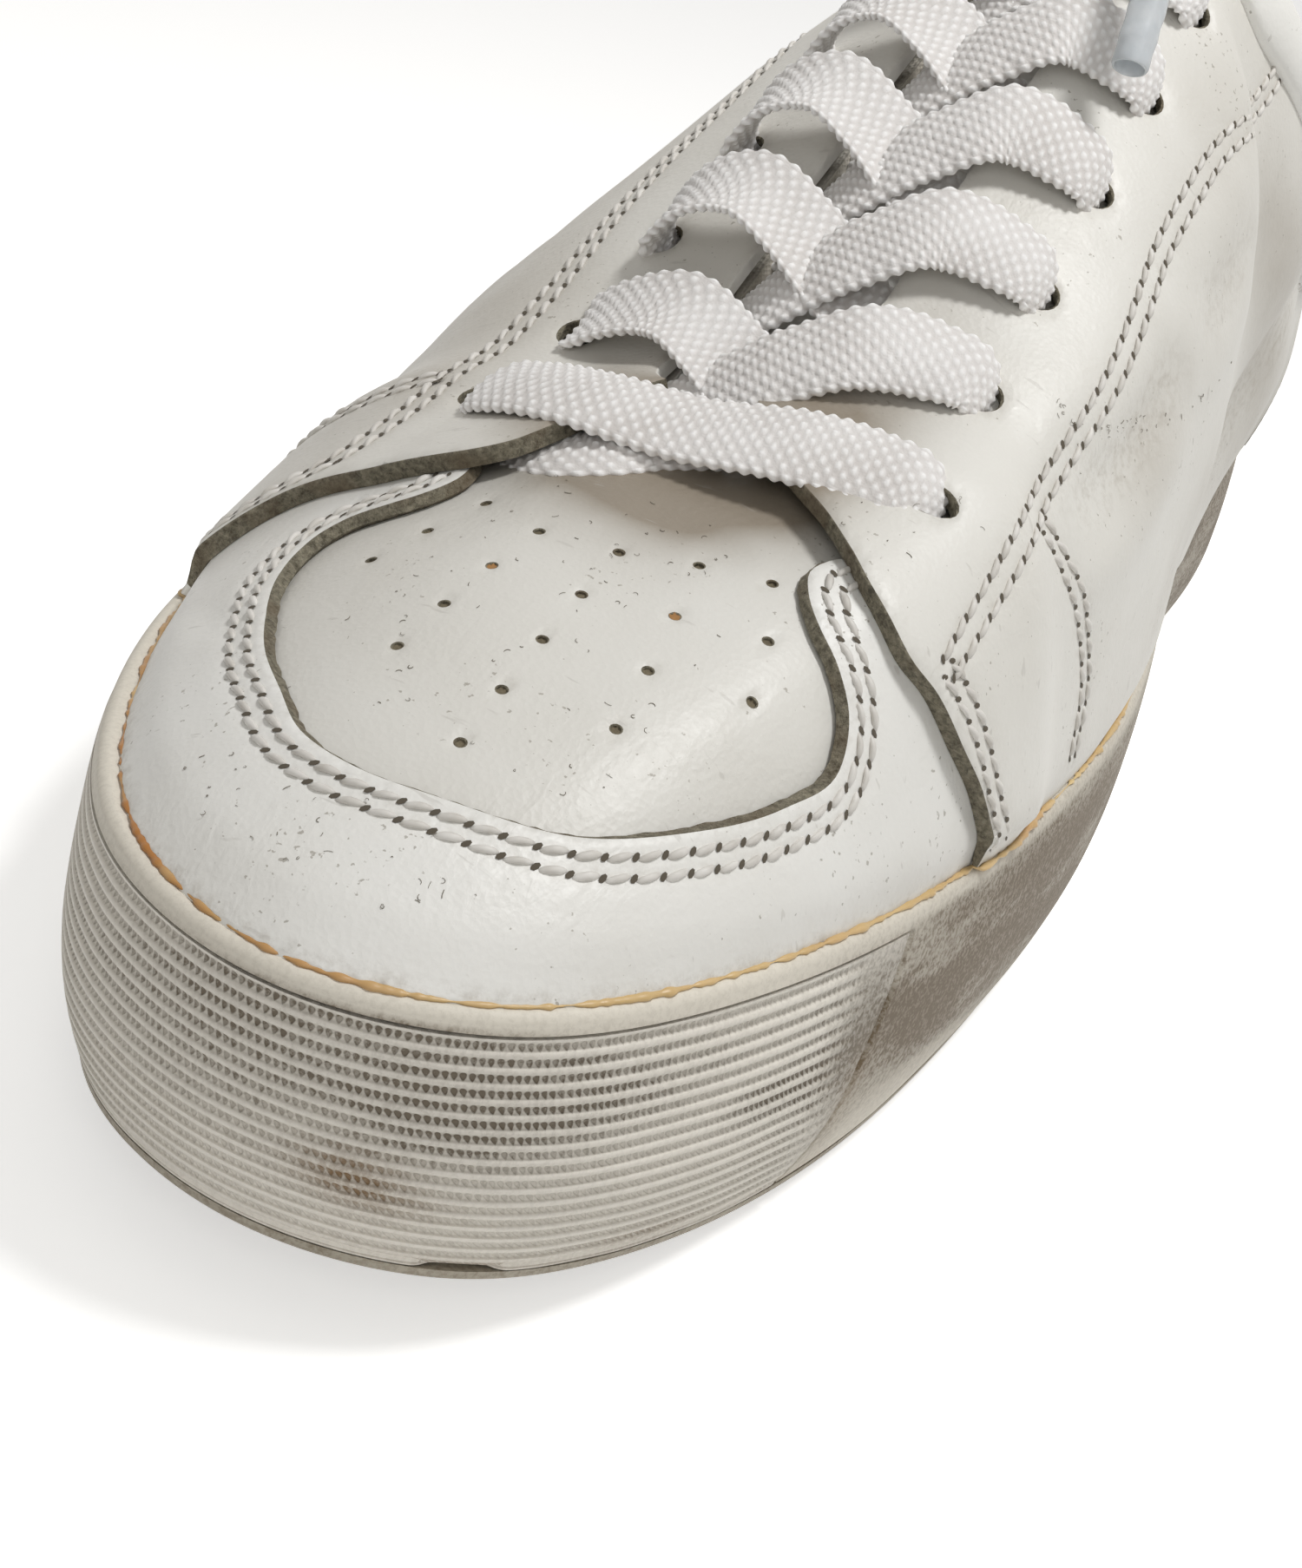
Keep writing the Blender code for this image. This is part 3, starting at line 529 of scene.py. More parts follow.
def make_tip(start, run):
    """Rolled tube, open at its end, that starts where the lace ends."""
    side = unit(np.cross(run, UP))
    other = np.cross(run, side)
    angles = np.linspace(0, 2 * np.pi, 36, endpoint=False)
    # reach along the tip and radius: over the outside, round the lip and back up the bore
    profile = [(0.3, TIP_RADIUS - 0.5), (0.5, TIP_RADIUS - 0.1), (1.4, TIP_RADIUS)]
    profile += [(reach, TIP_RADIUS + 0.05 * np.sin(reach * 1.9)) for reach in
                np.linspace(2.5, TIP_LENGTH - 1.2, 22)]
    profile += [(TIP_LENGTH - 0.3, TIP_RADIUS), (TIP_LENGTH, TIP_RADIUS - 0.12),
                (TIP_LENGTH + 0.05, TIP_RADIUS - 0.3), (TIP_LENGTH - 0.2, TIP_RADIUS - TIP_WALL),
                (TIP_LENGTH - 3.2, TIP_RADIUS - TIP_WALL - 0.1), (TIP_LENGTH - 3.6, 0.05)]
    rings = []
    for reach, radius in profile:
        oval = 1 + 0.05 * np.cos(2 * angles)
        rings.append(start + run * reach + radius * oval[:, None]
                     * (np.cos(angles)[:, None] * side + np.sin(angles)[:, None] * other))
    tip = add_piece("lace_tip", np.concatenate(rings), tube_faces(len(rings), len(angles)),
                    [tip_finish()], sharp=40)
    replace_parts(tip, "lace_tip_medial")
    return tip


def make_lace_end():
    route = np.array([instep_point(place) for place in LACE_END])
    lace = woven_lace("lace_end", route, LACE_END_WIDTHS, [0.0] * len(route),
                      np.array([1.0, 0.0, 0.0]))
    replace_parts(lace, "lace_end_medial")
    stations = lengths_along(route)
    path = through(stations, route, np.linspace(0, stations[-1], 16))
    tip = make_tip(path[-1], unit(instep_point(TIP_END) - path[-1]))


make_lace_end()
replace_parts(lace_strap("lace_bar", 0, BAR), "lace_bar_1")
for row in range(1, EYELET_ROWS):
    lace_strap(f"lace_lateral_{row + 1}", row, LATERAL_STRAP, FLATTER if row == 1 else 1.0)
    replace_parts(lace_strap(f"lace_medial_{row + 1}", row, MEDIAL_STRAP),
                f"lace_crossing_{row + 1}")


def make_fold():
    """The lace's slack under the first row: it lies on the vamp and goes in under the quarter."""
    run = [(-15, 70.5), (-9, 68.4), (-4, 67.2), (0, 68.2), (4, 70.8), (9, 74)]
    places = locate([(across, along + TOE_Y, FIRST_HEIGHT) for across, along in run])
    point, _, _, normal = form_frame(places)
    lift = np.array([0.9, 1.0, 1.2, 1.4, 1.6, 1.8])[:, None]
    woven_lace("lace_fold", point + normal * lift, [7.5, 9.0, 9.4, 8.4, 6.0, 4.4],
               [-10, -14, -14, -10, -6, 0])


make_fold()


# ---------------------------------------------------------------- lining
# Woven nylon on thin foam, glued inside the whole upper. It shows at the collar, in the throat
# and through the perforations.

LINING_FACE = -0.7       # its outer face lies under the leather
LINING_INSIDE = -2.2
LINING_COLUMNS = 360
LINING_ROWS = 22


def ground_height(y):
    """Underside of the tread: toe spring, a low arch and a bevelled heel."""
    along = y - TOE_Y
    spring = 8.1 * np.clip(1 - along / 78, 0, None) ** 2
    arch = 1.2 * eased(1 - abs(along - 172) / 30)
    return spring + arch + 1.6 * np.clip((along - 272) / 12, 0, None) ** 2


def bed_height(y):
    """Top of the outsole, where the upper and the insole stand."""
    return 8.5 + ground_height(y) + 8.0 * eased((y - TOE_Y - 110) / 110)


def at_climb(turns, climb):
    """Places of the form at one climb."""
    return np.stack([turns, np.full(len(turns), climb)], 1)


def level_ring(turns, depth, height):
    points = inset(turns, depth)
    return np.column_stack([points, height(points[:, 1])])


def lining_finish():
    """Woven nylon, brushed: dull grey-white, with threads 0.5 mm apart."""
    made, tree, shader = new_material("woven_nylon_lining", Roughness=0.95)
    place = add_node(tree, "TexCoord").outputs["Object"]
    stain = add_node(tree, "TexNoise", Vector=place, Scale=60.0, Detail=4.0)
    weave = add_node(tree, "TexVoronoi", Vector=place, Scale=2000.0, Randomness=0.3)
    colour = add_node(tree, "Mix", data_type="RGBA", Factor=stain, A="#D9D5CC", B="#A59D8E")
    bump = add_node(tree, "Bump", Height=weave, Strength=0.6, Distance=0.0003)
    wire(shader, Base_Color=colour, Normal=bump)
    return made


def make_lining():
    turns = np.arange(LINING_COLUMNS) / LINING_COLUMNS
    ledge = SLOPES(turns)[:, 4]
    rings = [level_ring(turns, ledge + 0.6, lambda y: bed_height(y) + 0.3)]
    for first, last, depth in ((0, 1, LINING_FACE), (1, 0, LINING_INSIDE)):
        for climb in np.linspace(first, last, LINING_ROWS):
            point, _, _, normal = form_frame(at_climb(turns, climb))
            rings.append(point + normal * depth)
    rings.append(level_ring(turns, ledge + 2.2, lambda y: bed_height(y) + 0.3))
    faces = [face[::-1] for face in grid_faces(len(rings), LINING_COLUMNS, True, True)]
    lining = add_piece("lining", np.concatenate(rings), faces, [lining_finish()],
                       sharp=50)
    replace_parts(lining, "upper")


make_lining()


# ---------------------------------------------------------------- vamp
# Smooth coated full-grain leather under all the other panels. Its middle shows in the window
# of the toe overlay and is punched with a fan of nineteen ventilation holes.

ONE_TURN = 740.0         # about, in millimetres
CHART = np.array([ONE_TURN, 78.0])   # the leather laid flat: one turn and one climb
VAMP_TOP = 0.3
VAMP_UNDER = -0.55
PERFORATION_RADIUS = 0.62
# columns of holes: along and across at the throat's end, and at the toe's end
Column = namedtuple("Column", "count far_along far_across near_along near_across")
PERFORATIONS = [
    Column(3, 56.8, -6.2, 43.8, -13.0), Column(4, 52.8, 1.8, 30.2, -0.6),
    Column(5, 54.2, 9.1, 21.8, 12.0), Column(4, 57.4, 16.1, 32.0, 21.9),
    Column(3, 59.6, 22.4, 44.3, 29.2),
]
# creases pressed by walking: points of a line, how deep and how wide
Crease = namedtuple("Crease", "depth width line")
CREASES = [
    Crease(0.9, 3.4, [(86, 38, 62), (96, 40.1, 62.7), (104, 41, 64.4), (117, 41.5, 69.5)]),
    Crease(0.6, 2.6, [(88, 41, 57), (97, 42.6, 58.5), (106, 43.2, 59.6), (116, 43.3, 64)]),
    Crease(0.5, 2.4, [(92, 37.4, 66), (101, 38.6, 69), (112, 38.6, 74)]),
    Crease(0.7, 3.0, [(98, -41, 48), (108, -42, 52), (120, -41, 60)]),
    Crease(0.5, 2.4, [(92, -38, 50), (102, -38, 56), (110, -36, 62)]),
    Crease(0.4, 2.0, [(41, -26, 39), (35, -20.4, 40.7), (31, -16, 42.4)]),
    Crease(0.6, 3.2, [(206, 31, 50), (214, 31, 58), (224, 29, 64)]),
    Crease(0.6, 3.2, [(204, -40, 48), (214, -38, 56), (226, -35, 62)]),
    Crease(0.3, 2.6, [(60, 6, 57), (61, 14, 58), (59, 20, 57)]),
    Crease(2.4, 9.0, [(160, 40.5, 34), (170, 38.4, 46), (181, 37.4, 56), (192, 36.4, 66),
                      (203, 34.5, 74)]),
    Crease(1.3, 4.6, [(94.5, 37.8, 61.9), (104, 39, 63.9), (110.7, 39.1, 66.5),
                      (117.8, 38.7, 70.2), (124, 38.8, 72)]),
    Crease(0.8, 4.0, [(128, 37.4, 76), (137.4, 37.7, 78.8), (148, 36.1, 84.2)]),
]


def nearest_on(points, line):
    """Distance from each point to a line of points, and how far along the line, 0 to 1."""
    line = np.asarray(line, float)
    best, share = np.full(len(points), 1e9), np.zeros(len(points))
    for number, (start, end) in enumerate(zip(line, line[1:])):
        run = end - start
        part = np.clip((points - start) @ run / (run @ run), 0, 1)
        far = np.linalg.norm(points - start - part[:, None] * run, axis=1)
        share = np.where(far < best, (number + part) / (len(line) - 1), share)
        best = np.minimum(best, far)
    return best, share


def lumps(points, size, start=(0, 0, 0)):
    """Smooth random height, -1 to 1, whose lumps have a size in millimetres."""
    return np.array([noise.noise(Vector(point) / size + Vector(start)) for point in points])


def creased(points):
    """How far creases and slack lift or sink the leather."""
    lift = np.zeros(len(points))
    for crease in CREASES:
        line = np.array([(across, along + TOE_Y, height) for along, across, height in crease.line])
        far, share = nearest_on(points, line)
        near = far / crease.width
        lift -= crease.depth * np.sin(np.pi * share) ** 0.5 * (
            np.exp(-near ** 2) - 0.45 * np.exp(-(near - 1.9) ** 2))
    return lift + 0.16 * lumps(points, 11)


# a stain, a patch of thick dirt, and in a few places painted shade: its middle, its half size both
# ways, and its strength
Stain = namedtuple("Stain", "turn rise wide high strength")
# stains and dirt on the leather, and painted shade: Stain(0.014, 0.93) is a painted shadow of the
# first lace crossing on the vamp, strong enough to be clipped
LEATHER_DIRT_AND_SHADE = [
    # Stain(0.385, 0.10) on the medial rear quarter is dirt and painted shade, and Stain(0.302,
    # 0.56) is painted shade along the deep crease of the medial quarter
    Stain(0.385, 0.10, 0.060, 0.45, 0.95), Stain(0.302, 0.56, 0.032, 0.32, 0.62),
    Stain(0.224, 0.70, 0.034, 0.30, 0.26), Stain(0.868, 0.48, 0.034, 0.36, 0.42),
    Stain(0.250, 0.12, 0.045, 0.16, 0.45), Stain(0.185, 0.44, 0.016, 0.10, 0.30),
    Stain(0.014, 0.93, 0.086, 0.140, 3.6), Stain(0.150, 0.02, 0.050, 0.06, 0.30),
    Stain(0.930, 0.55, 0.030, 0.30, 0.25), Stain(0.800, 0.30, 0.060, 0.40, 0.40),
    Stain(0.500, 0.15, 0.060, 0.20, 0.50),
]


def from_toe(turns):
    """Turns counted both ways from the toe, -0.5 to 0.5."""
    return (turns + 0.5) % 1.0 - 0.5


def stained(stains, turns, rise, most=1.0):
    """How thick stains and painted shade lie at points of the upper or the rubber, at most so
    much.
    """
    total = np.zeros(np.shape(turns))
    for stain in stains:
        away = from_toe(turns - stain.turn)
        total += stain.strength * np.exp(-(away / stain.wide) ** 2
                                         - ((rise - stain.rise) / stain.high) ** 2)
    return np.clip(total, 0, most)


def trace(rows, spacing=0.9):
    """Places along a smooth line through points given as along, across and height."""
    rows = np.array(rows, float)
    points = np.stack([rows[:, 1], rows[:, 0] + TOE_Y, rows[:, 2]], 1)
    points = form(locate(points))
    stations = lengths_along(points)
    at = np.linspace(0, stations[-1], max(2, int(stations[-1] / spacing)))
    return locate(through(stations, points, at))


def level_line(first, last, climb):
    """Places at one climb from one turn to another."""
    return at_climb(np.linspace(first, last, max(2, int(abs(last - first) * ONE_TURN))), climb)


def unwrapped(places):
    """Places whose turns follow on from each other without a jump at 0."""
    places = np.array(places, float)
    places[:, 0] = np.unwrap(places[:, 0] * 2 * np.pi) / (2 * np.pi)
    return places


def shifted(places, distance):
    """A line of places moved sideways over the form, to its left."""
    point, _, _, normal = form_frame(places)
    run = unit(np.gradient(point, axis=0))
    return unwrapped(locate(point + np.cross(normal, run) * distance))


def circle(row, radius, count=14):
    """Places of a round hole about a place given as along, across and height."""
    centre = locate([(row[1], row[0] + TOE_Y, row[2])])
    point, around, _, normal = form_frame(centre)
    first = unit(around)
    second = np.cross(normal, first)
    angle = np.linspace(0, 2 * np.pi, count, endpoint=False)[:, None]
    return unwrapped(locate(point + radius * (np.cos(angle) * first + np.sin(angle) * second)))


def inside(points, loop):
    """Which points of the chart lie inside a closed loop."""
    crossings = np.zeros(len(points), int)
    for start, end in zip(loop, np.roll(loop, -1, axis=0)):
        if start[1] == end[1]:
            continue
        spans = (points[:, 1] >= min(start[1], end[1])) & (points[:, 1] < max(start[1], end[1]))
        reach = start[0] + (points[:, 1] - start[1]) * (end[0] - start[0]) / (end[1] - start[1])
        crossings += spans & (points[:, 0] < reach)
    return crossings % 2 == 1


def charted(places, middle):
    """Places in the chart's millimetres, in the turn that lies nearest to middle."""
    flat = places * CHART
    flat[:, 0] += ONE_TURN * np.round((middle - flat[:, 0].mean()) / ONE_TURN)
    return flat


def staggered(low, high, spacing):
    """Points of a net of even triangles between two corners."""
    rows = []
    for number, y in enumerate(np.arange(low[1], high[1], spacing * 0.866)):
        row = np.arange(low[0] + spacing / 2 * (number % 2), high[0], spacing)
        rows.append(np.column_stack([row, np.full(len(row), y)]))
    return np.concatenate(rows)


def within(points, loops):
    """Which points lie inside the first loop and outside the others."""
    free = inside(points, loops[0])
    for loop in loops[1:]:
        free &= ~inside(points, loop)
    return free


def leather_net(loops, rails, spacing):
    """Flat points and triangles that fill the first loop but not the others. Points follow
    the loops and the rails, and a net of even triangles fills in between."""
    grid = staggered(loops[0].min(0), loops[0].max(0), spacing)
    grid = grid[within(grid, loops)]
    marks = np.concatenate(loops + rails)
    near = KDTree(len(marks))
    for number, point in enumerate(marks):
        near.insert((*point, 0), number)
    near.balance()
    grid = grid[[near.find((*point, 0))[2] > 0.55 * spacing for point in grid]]
    points, edges = [], []
    for loop in loops:
        first = len(points)
        points += list(loop)
        edges += [(first + i, first + (i + 1) % len(loop)) for i in range(len(loop))]
    points += [point for rail in rails for point in rail if inside(point[None], loops[0])[0]]
    made = delaunay_2d_cdt([Vector(point) for point in [*points, *grid]], edges, [], 0, 1e-4)
    flat = np.array([tuple(point) for point in made[0]])
    triangles = np.array([face for face in made[2] if len(face) == 3])
    triangles = triangles[within(flat[triangles].mean(1), loops)]
    used, triangles = np.unique(triangles, return_inverse=True)
    flat, triangles = flat[used], triangles.reshape(-1, 3)
    turning = np.cross(flat[triangles[:, 1]] - flat[triangles[:, 0]],
                       flat[triangles[:, 2]] - flat[triangles[:, 0]])
    triangles[turning < 0] = triangles[turning < 0][:, ::-1]
    return flat, triangles


# rows down a cut edge: how far down, as a share of the thickness, and how far out
CUT_EDGE = ((0.08, 0.14), (0.3, 0.16), (0.65, 0.06))
LASTED_EDGE = ((0.08, 0.12), (0.35, 0.35), (0.7, 0.62))
RAILS = (-0.75, 0.0, 0.75)   # lines of mesh points at a seam, where the leather dips


def panel(name, outline, cuts, top, under, finishes, spacing=1.7, seams=(), edge=CUT_EDGE,
          ragged=0.14, roll=0.2):
    """Piece of leather over the form. top and under give the height of its faces over the
    form at points. Its edge is ragged by so much, and rolled down at the top."""
    loops = [unwrapped(outline) * CHART]
    middle = loops[0][:, 0].mean()
    loops += [charted(unwrapped(loop), middle) for loop in cuts]
    rails = [charted(shifted(line, side), middle) for line in seams for side in RAILS]
    flat, triangles = leather_net(loops, rails, spacing)
    place = flat / CHART
    point, _, _, normal = form_frame(place)
    rise = creased(point)
    # the rim, once round each loop
    sides = set()
    for face in triangles:
        for start, end in zip(face, np.roll(face, -1)):
            sides.add((int(start), int(end)))
    rim = {start: end for start, end in sides if (end, start) not in sides}
    before = {end: start for start, end in rim.items()}
    ring, ahead = np.array(list(rim)), np.array(list(rim.values()))
    outward = unit(np.cross(unit(point[ahead] - point[[before[i] for i in ring]]), normal[ring]))
    # points of the upper face, then the rows down the cut edge, then the lower face
    high, low = top(point) + rise, under(point) + rise
    high[ring] -= roll
    levels = [point + normal * high[:, None]]
    rows = [ring]
    total = len(point)
    for drop, out in edge:
        lift = high[ring] + (low[ring] - high[ring]) * drop
        rough = ragged * lumps(point[ring], 0.9, (drop * 7, 0, 0))
        levels.append(point[ring] + normal[ring] * lift[:, None]
                      + outward * (out + rough)[:, None])
        rows.append(np.arange(len(ring)) + total)
        total += len(ring)
    levels.append(point + normal * low[:, None])
    rows.append(ring + total)
    number_of = {start: number for number, start in enumerate(ring)}
    onward = [number_of[end] for end in ahead]
    upper_face = [tuple(face) for face in triangles]
    walls = [(upper[onward[i]], upper[i], lower[i], lower[onward[i]])
             for upper, lower in zip(rows, rows[1:]) for i in range(len(ring))]
    lower_face = [tuple(face[::-1] + total) for face in triangles]
    # 0 is the skin and 1 the raw edge and the back; there is no raw edge along the rubber
    # and the opening
    bound = (place[ring, 1] > 0.995) | (place[ring, 1] < 0.005)
    indices = np.concatenate([np.zeros(len(upper_face), int),
                              np.tile(np.where(bound, 0, 1), len(rows) - 1),
                              np.ones(len(lower_face), int)])
    skin = slice(len(point))
    wear, dirt = np.zeros((2, sum(map(len, levels))))
    wear[skin] = 0.2 * np.exp(-place[:, 1] * 75 / 0.9) + np.clip(-rise, 0, 1) * 0.6
    wear[ring] += 0.4
    for line in seams:
        far, _ = nearest_on(point, form(line)[::2])
        wear[skin] += 0.35 * np.exp(-(far / 0.7) ** 2)
        levels[0] -= normal * (0.22 * np.exp(-(far / 0.8) ** 2))[:, None]
    # the dirt mark holds stains and painted shade, up to 1.5, so that the painted shadow under the
    # first lace crossing darkens fully
    dirt[skin] = stained(LEATHER_DIRT_AND_SHADE, place[:, 0], place[:, 1], most=1.5)
    return add_piece(name, np.concatenate(levels), upper_face + walls + lower_face, finishes,
                     sharp=55, marks={"wear": np.clip(wear, 0, 1), "dirt": dirt},
                     indices=indices)


def leather_finish(name, clean, aged, gloss=0.42):
    """Coated full-grain leather: a satin skin over fine grain, with grey scuffs, hairline
    scratches and dirt that gathers at edges, seams and creases."""
    made, tree, shader = new_material(name, Roughness=gloss, IOR=1.5)
    place = add_node(tree, "TexCoord").outputs["Object"]
    wear = add_node(tree, "Attribute", attribute_name="wear")
    cloud = add_node(tree, "TexNoise", Vector=place, Scale=45.0, Detail=4.0)
    tone = add_node(tree, "Mix", data_type="RGBA", Factor=cloud, A=clean, B=aged)
    # the dirt mark darkens the tone towards one stain colour, for stains and for painted shade
    # alike
    dirt_and_shade_mark = add_node(tree, "Attribute", attribute_name="dirt")
    uneven = add_node(tree, "MapRange", cloud, 0.35, 0.65, 0.55, 0.9)
    dirt_and_shade = add_node(tree, "Math", dirt_and_shade_mark.outputs["Fac"], uneven, operation="MULTIPLY")
    tone = add_node(tree, "Mix", data_type="RGBA", Factor=dirt_and_shade, A=tone, B="#8F8577")
    speck = add_node(tree, "TexNoise", Vector=place, Scale=700.0, Detail=5.0, Roughness=0.7)
    dirt = add_node(tree, "MapRange", speck, 0.45, 0.75)
    grime = add_node(tree, "Math", wear.outputs["Fac"], dirt, operation="MULTIPLY")
    worn = add_node(tree, "Mix", data_type="RGBA", Factor=grime, A=tone, B="#A79F92")
    # specks of ground-in dirt 0.3 mm across, here and there
    crumbs = add_node(tree, "TexNoise", Vector=place, Scale=1500.0, Detail=2.0)
    area = add_node(tree, "TexNoise", Vector=place, Scale=85.0, Detail=2.0)
    sparse = add_node(tree, "MapRange", area, 0.3, 0.7, 0.8, 0.64)
    over = add_node(tree, "Math", crumbs, sparse, operation="SUBTRACT")
    spot = add_node(tree, "MapRange", over, 0.0, 0.05, 0.0, 0.65)
    spotted = add_node(tree, "Mix", data_type="RGBA", Factor=spot, A=worn, B="#8C8578")
    # hairline scratches about 0.2 mm wide and 6 mm long
    stretch = add_node(tree, "Mapping", Vector=place, Scale=(150.0, 900.0, 400.0),
                       Rotation=(0.3, 0.2, 0.7))
    scratch = add_node(tree, "TexNoise", Vector=stretch, Scale=1.0, Detail=2.0)
    line = add_node(tree, "MapRange", scratch, 0.7, 0.74, 0.0, 0.35)
    scuffed = add_node(tree, "Mix", data_type="RGBA", Factor=line, A=spotted, B="#B3AFA8")
    # grain of 0.6 mm cells and the finer pores between them
    grain = add_node(tree, "TexVoronoi", Vector=place, Scale=1600.0)
    pores = add_node(tree, "TexNoise", Vector=place, Scale=3000.0, Detail=3.0)
    height = add_node(tree, "Math", pores, 0.5, grain, operation="MULTIPLY_ADD")
    bump = add_node(tree, "Bump", Height=height, Strength=0.16, Distance=0.0002)
    # fine wrinkles about 1.5 mm apart, in patches
    drawn = add_node(tree, "Mapping", Vector=place, Scale=(700.0, 260.0, 420.0),
                     Rotation=(0.2, 0.1, -0.6))
    wrinkle = add_node(tree, "TexNoise", Vector=drawn, Scale=1.0, Detail=3.0, Distortion=0.6)
    patchy = add_node(tree, "MapRange", cloud, 0.44, 0.62)
    folded = add_node(tree, "Math", wrinkle, patchy, operation="MULTIPLY")
    creasing = add_node(tree, "Bump", Height=folded, Normal=bump, Strength=0.3, Distance=0.0005)
    sheen = add_node(tree, "MapRange", speck, To_Min=gloss - 0.08, To_Max=gloss + 0.16)
    wire(shader, Base_Color=scuffed, Normal=creasing, Roughness=sheen)
    return made


def raw_edge_finish():
    """Cut edge of undyed split leather: fibrous, grey-brown with dirt rubbed in."""
    made, tree, shader = new_material("raw_cut_leather_edge", Roughness=0.95)
    place = add_node(tree, "TexCoord").outputs["Object"]
    fibre = add_node(tree, "TexNoise", Vector=place, Scale=1300.0, Detail=5.0, Roughness=0.75)
    patch = add_node(tree, "TexNoise", Vector=place, Scale=160.0, Detail=2.0)
    shade = add_node(tree, "MapRange", fibre, 0.3, 0.7)
    colour = add_node(tree, "Mix", data_type="RGBA", Factor=shade, A="#4B4536", B="#A59E8A")
    split = add_node(tree, "TexNoise", Vector=place, Scale=900.0, Detail=6.0, Roughness=0.7,
                     Distortion=0.5)
    crack = add_node(tree, "MapRange", split, 0.54, 0.68, 0.0, 0.7)
    colour = add_node(tree, "Mix", data_type="RGBA", Factor=crack, A=colour, B="#39342A")
    brown = add_node(tree, "MapRange", patch, 0.52, 0.68, 0.0, 0.6)
    stained = add_node(tree, "Mix", data_type="RGBA", Factor=brown, A=colour, B="#6A5B47")
    bump = add_node(tree, "Bump", Height=fibre, Strength=1.0, Distance=0.0006)
    wire(shader, Base_Color=stained, Normal=bump)
    return made


LEATHER = leather_finish("coated_full_grain_leather", "#F2F2EF", "#E0DED8")
SIDE_LEATHER = leather_finish("handled_full_grain_leather", "#E9E8E3", "#D6D3CB")
VAMP_LEATHER = leather_finish("greyed_full_grain_leather", "#E6E5E0", "#D2CFC7")
RAW_EDGE = raw_edge_finish()


def perforation_rows():
    for column in PERFORATIONS:
        for number in range(column.count):
            part = number / (column.count - 1)
            yield (column.far_along + (column.near_along - column.far_along) * part,
                   column.far_across + (column.near_across - column.far_across) * part, 52)


def make_vamp():
    outline = np.concatenate([level_line(-0.125, 0.155, 0.05), level_line(0.155, -0.125, 1.0)])
    cuts = [circle(row, PERFORATION_RADIUS) for row in perforation_rows()]
    panel("vamp", outline, cuts, lambda p: np.full(len(p), VAMP_TOP),
          lambda p: np.full(len(p), VAMP_UNDER), [VAMP_LEATHER, RAW_EDGE], spacing=1.5,
          ragged=0.05, roll=0.12)


make_vamp()


HOLE_SPOKES = 12
HOLE_FILL_RADIUS = 0.66
CEMENTED_HOLES = (4, 13)   # counted along the columns


def fan_faces(first, spokes):
    """Triangles of a disc whose rim points are numbered from first, its middle after them."""
    return [(first + i, first + (i + 1) % spokes, first + spokes) for i in range(spokes)]


def make_hole_fill():
    """Dark discs in the ventilation holes: packed dirt and the holes' painted shade; in two of
    them cement has come through.
    """
    # dark fill of the holes: dirt and painted shade
    dirt, tree, shader = new_material("packed_dirt_and_hole_shade", Roughness=1.0)
    place = add_node(tree, "TexCoord").outputs["Object"]
    grit = add_node(tree, "TexNoise", Vector=place, Scale=2600.0, Detail=3.0)
    colour = add_node(tree, "Mix", data_type="RGBA", Factor=grit, A="#4B4436", B="#8E836C")
    wire(shader, Base_Color=colour)
    drop, tree, shader = new_material("dried_cement_drop", Roughness=0.45)
    place = add_node(tree, "TexCoord").outputs["Object"]
    hue = add_node(tree, "TexNoise", Vector=place, Scale=1400.0, Detail=2.0)
    colour = add_node(tree, "Mix", data_type="RGBA", Factor=hue, A="#5E3F1A", B="#B98545")
    wire(shader, Base_Color=colour)
    centres = locate([(across, along + TOE_Y, height) for along, across, height
                      in perforation_rows()])
    point, around, _, normal = form_frame(centres)
    first = unit(around)
    second = np.cross(normal, first)
    angle = np.linspace(0, 2 * np.pi, HOLE_SPOKES, endpoint=False)
    points, faces, indices = [], [], []
    for number, (middle, one, other, up) in enumerate(zip(point, first, second, normal)):
        cemented = number in CEMENTED_HOLES
        deep = VAMP_TOP - (0.22 if cemented else 0.34)
        base = len(points)
        points += [middle + up * (deep + 0.10 * np.sin(5 * a + number))
                   + HOLE_FILL_RADIUS * (np.cos(a) * one + np.sin(a) * other) for a in angle]
        points.append(middle + up * (deep - (0.0 if cemented else 0.15)))
        faces += fan_faces(base, HOLE_SPOKES)
        indices += [int(cemented)] * HOLE_SPOKES
    add_piece("hole_fill", points, faces, [dirt, drop], indices=indices)


make_hole_fill()


# ---------------------------------------------------------------- toe overlay
# Leather cut round the toe with a window in its middle, laid over the vamp with raw edges and
# sewn down with two rows of white thread.

STITCH_PITCH = 2.9
THREAD_RADIUS = 0.37
THREAD_RINGS = 7
THREAD_SPOKES = 7
NEEDLE_HOLE = 0.52       # radius of the dark round each needle hole
WINDOW = [
    (72, 32, 57.0), (67, 28.8, 58.3), (63.4, 26.0, 58.2), (60.4, 25.3, 57.6), (57.6, 26.6, 56.8),
    (54.9, 29.3, 55.2), (53.4, 32.5, 52.9), (51.8, 35.2, 49.6), (48.3, 36.6, 46.0),
    (40.9, 35.0, 44.4), (31.1, 31.2, 44), (21.2, 24, 44), (17.2, 13.9, 44.4), (16.4, 7.5, 44.2),
    (18.2, 0.4, 43.9), (22.5, -4.9, 44.3), (28, -10.5, 44.3), (35.3, -15.3, 44.5),
    (41.5, -18.6, 44.7), (46.0, -19.9, 45.4), (49.6, -19.9, 46.4), (52.0, -18.4, 47.7),
    (53.5, -15.2, 49.7), (55.3, -12.6, 51.4), (58.2, -11.0, 53.2), (62.0, -11.8, 54.4),
    (66, -15, 53),
]


def foot_taper(points):
    """1 well above the rubber, less where the leather is lasted in behind its ledge."""
    above = points[:, 2] - rubber_height(points[:, 1])
    return 0.45 + 0.55 * eased(above / 3.5)


def overlay_top(points):
    return 2.0 * foot_taper(points)


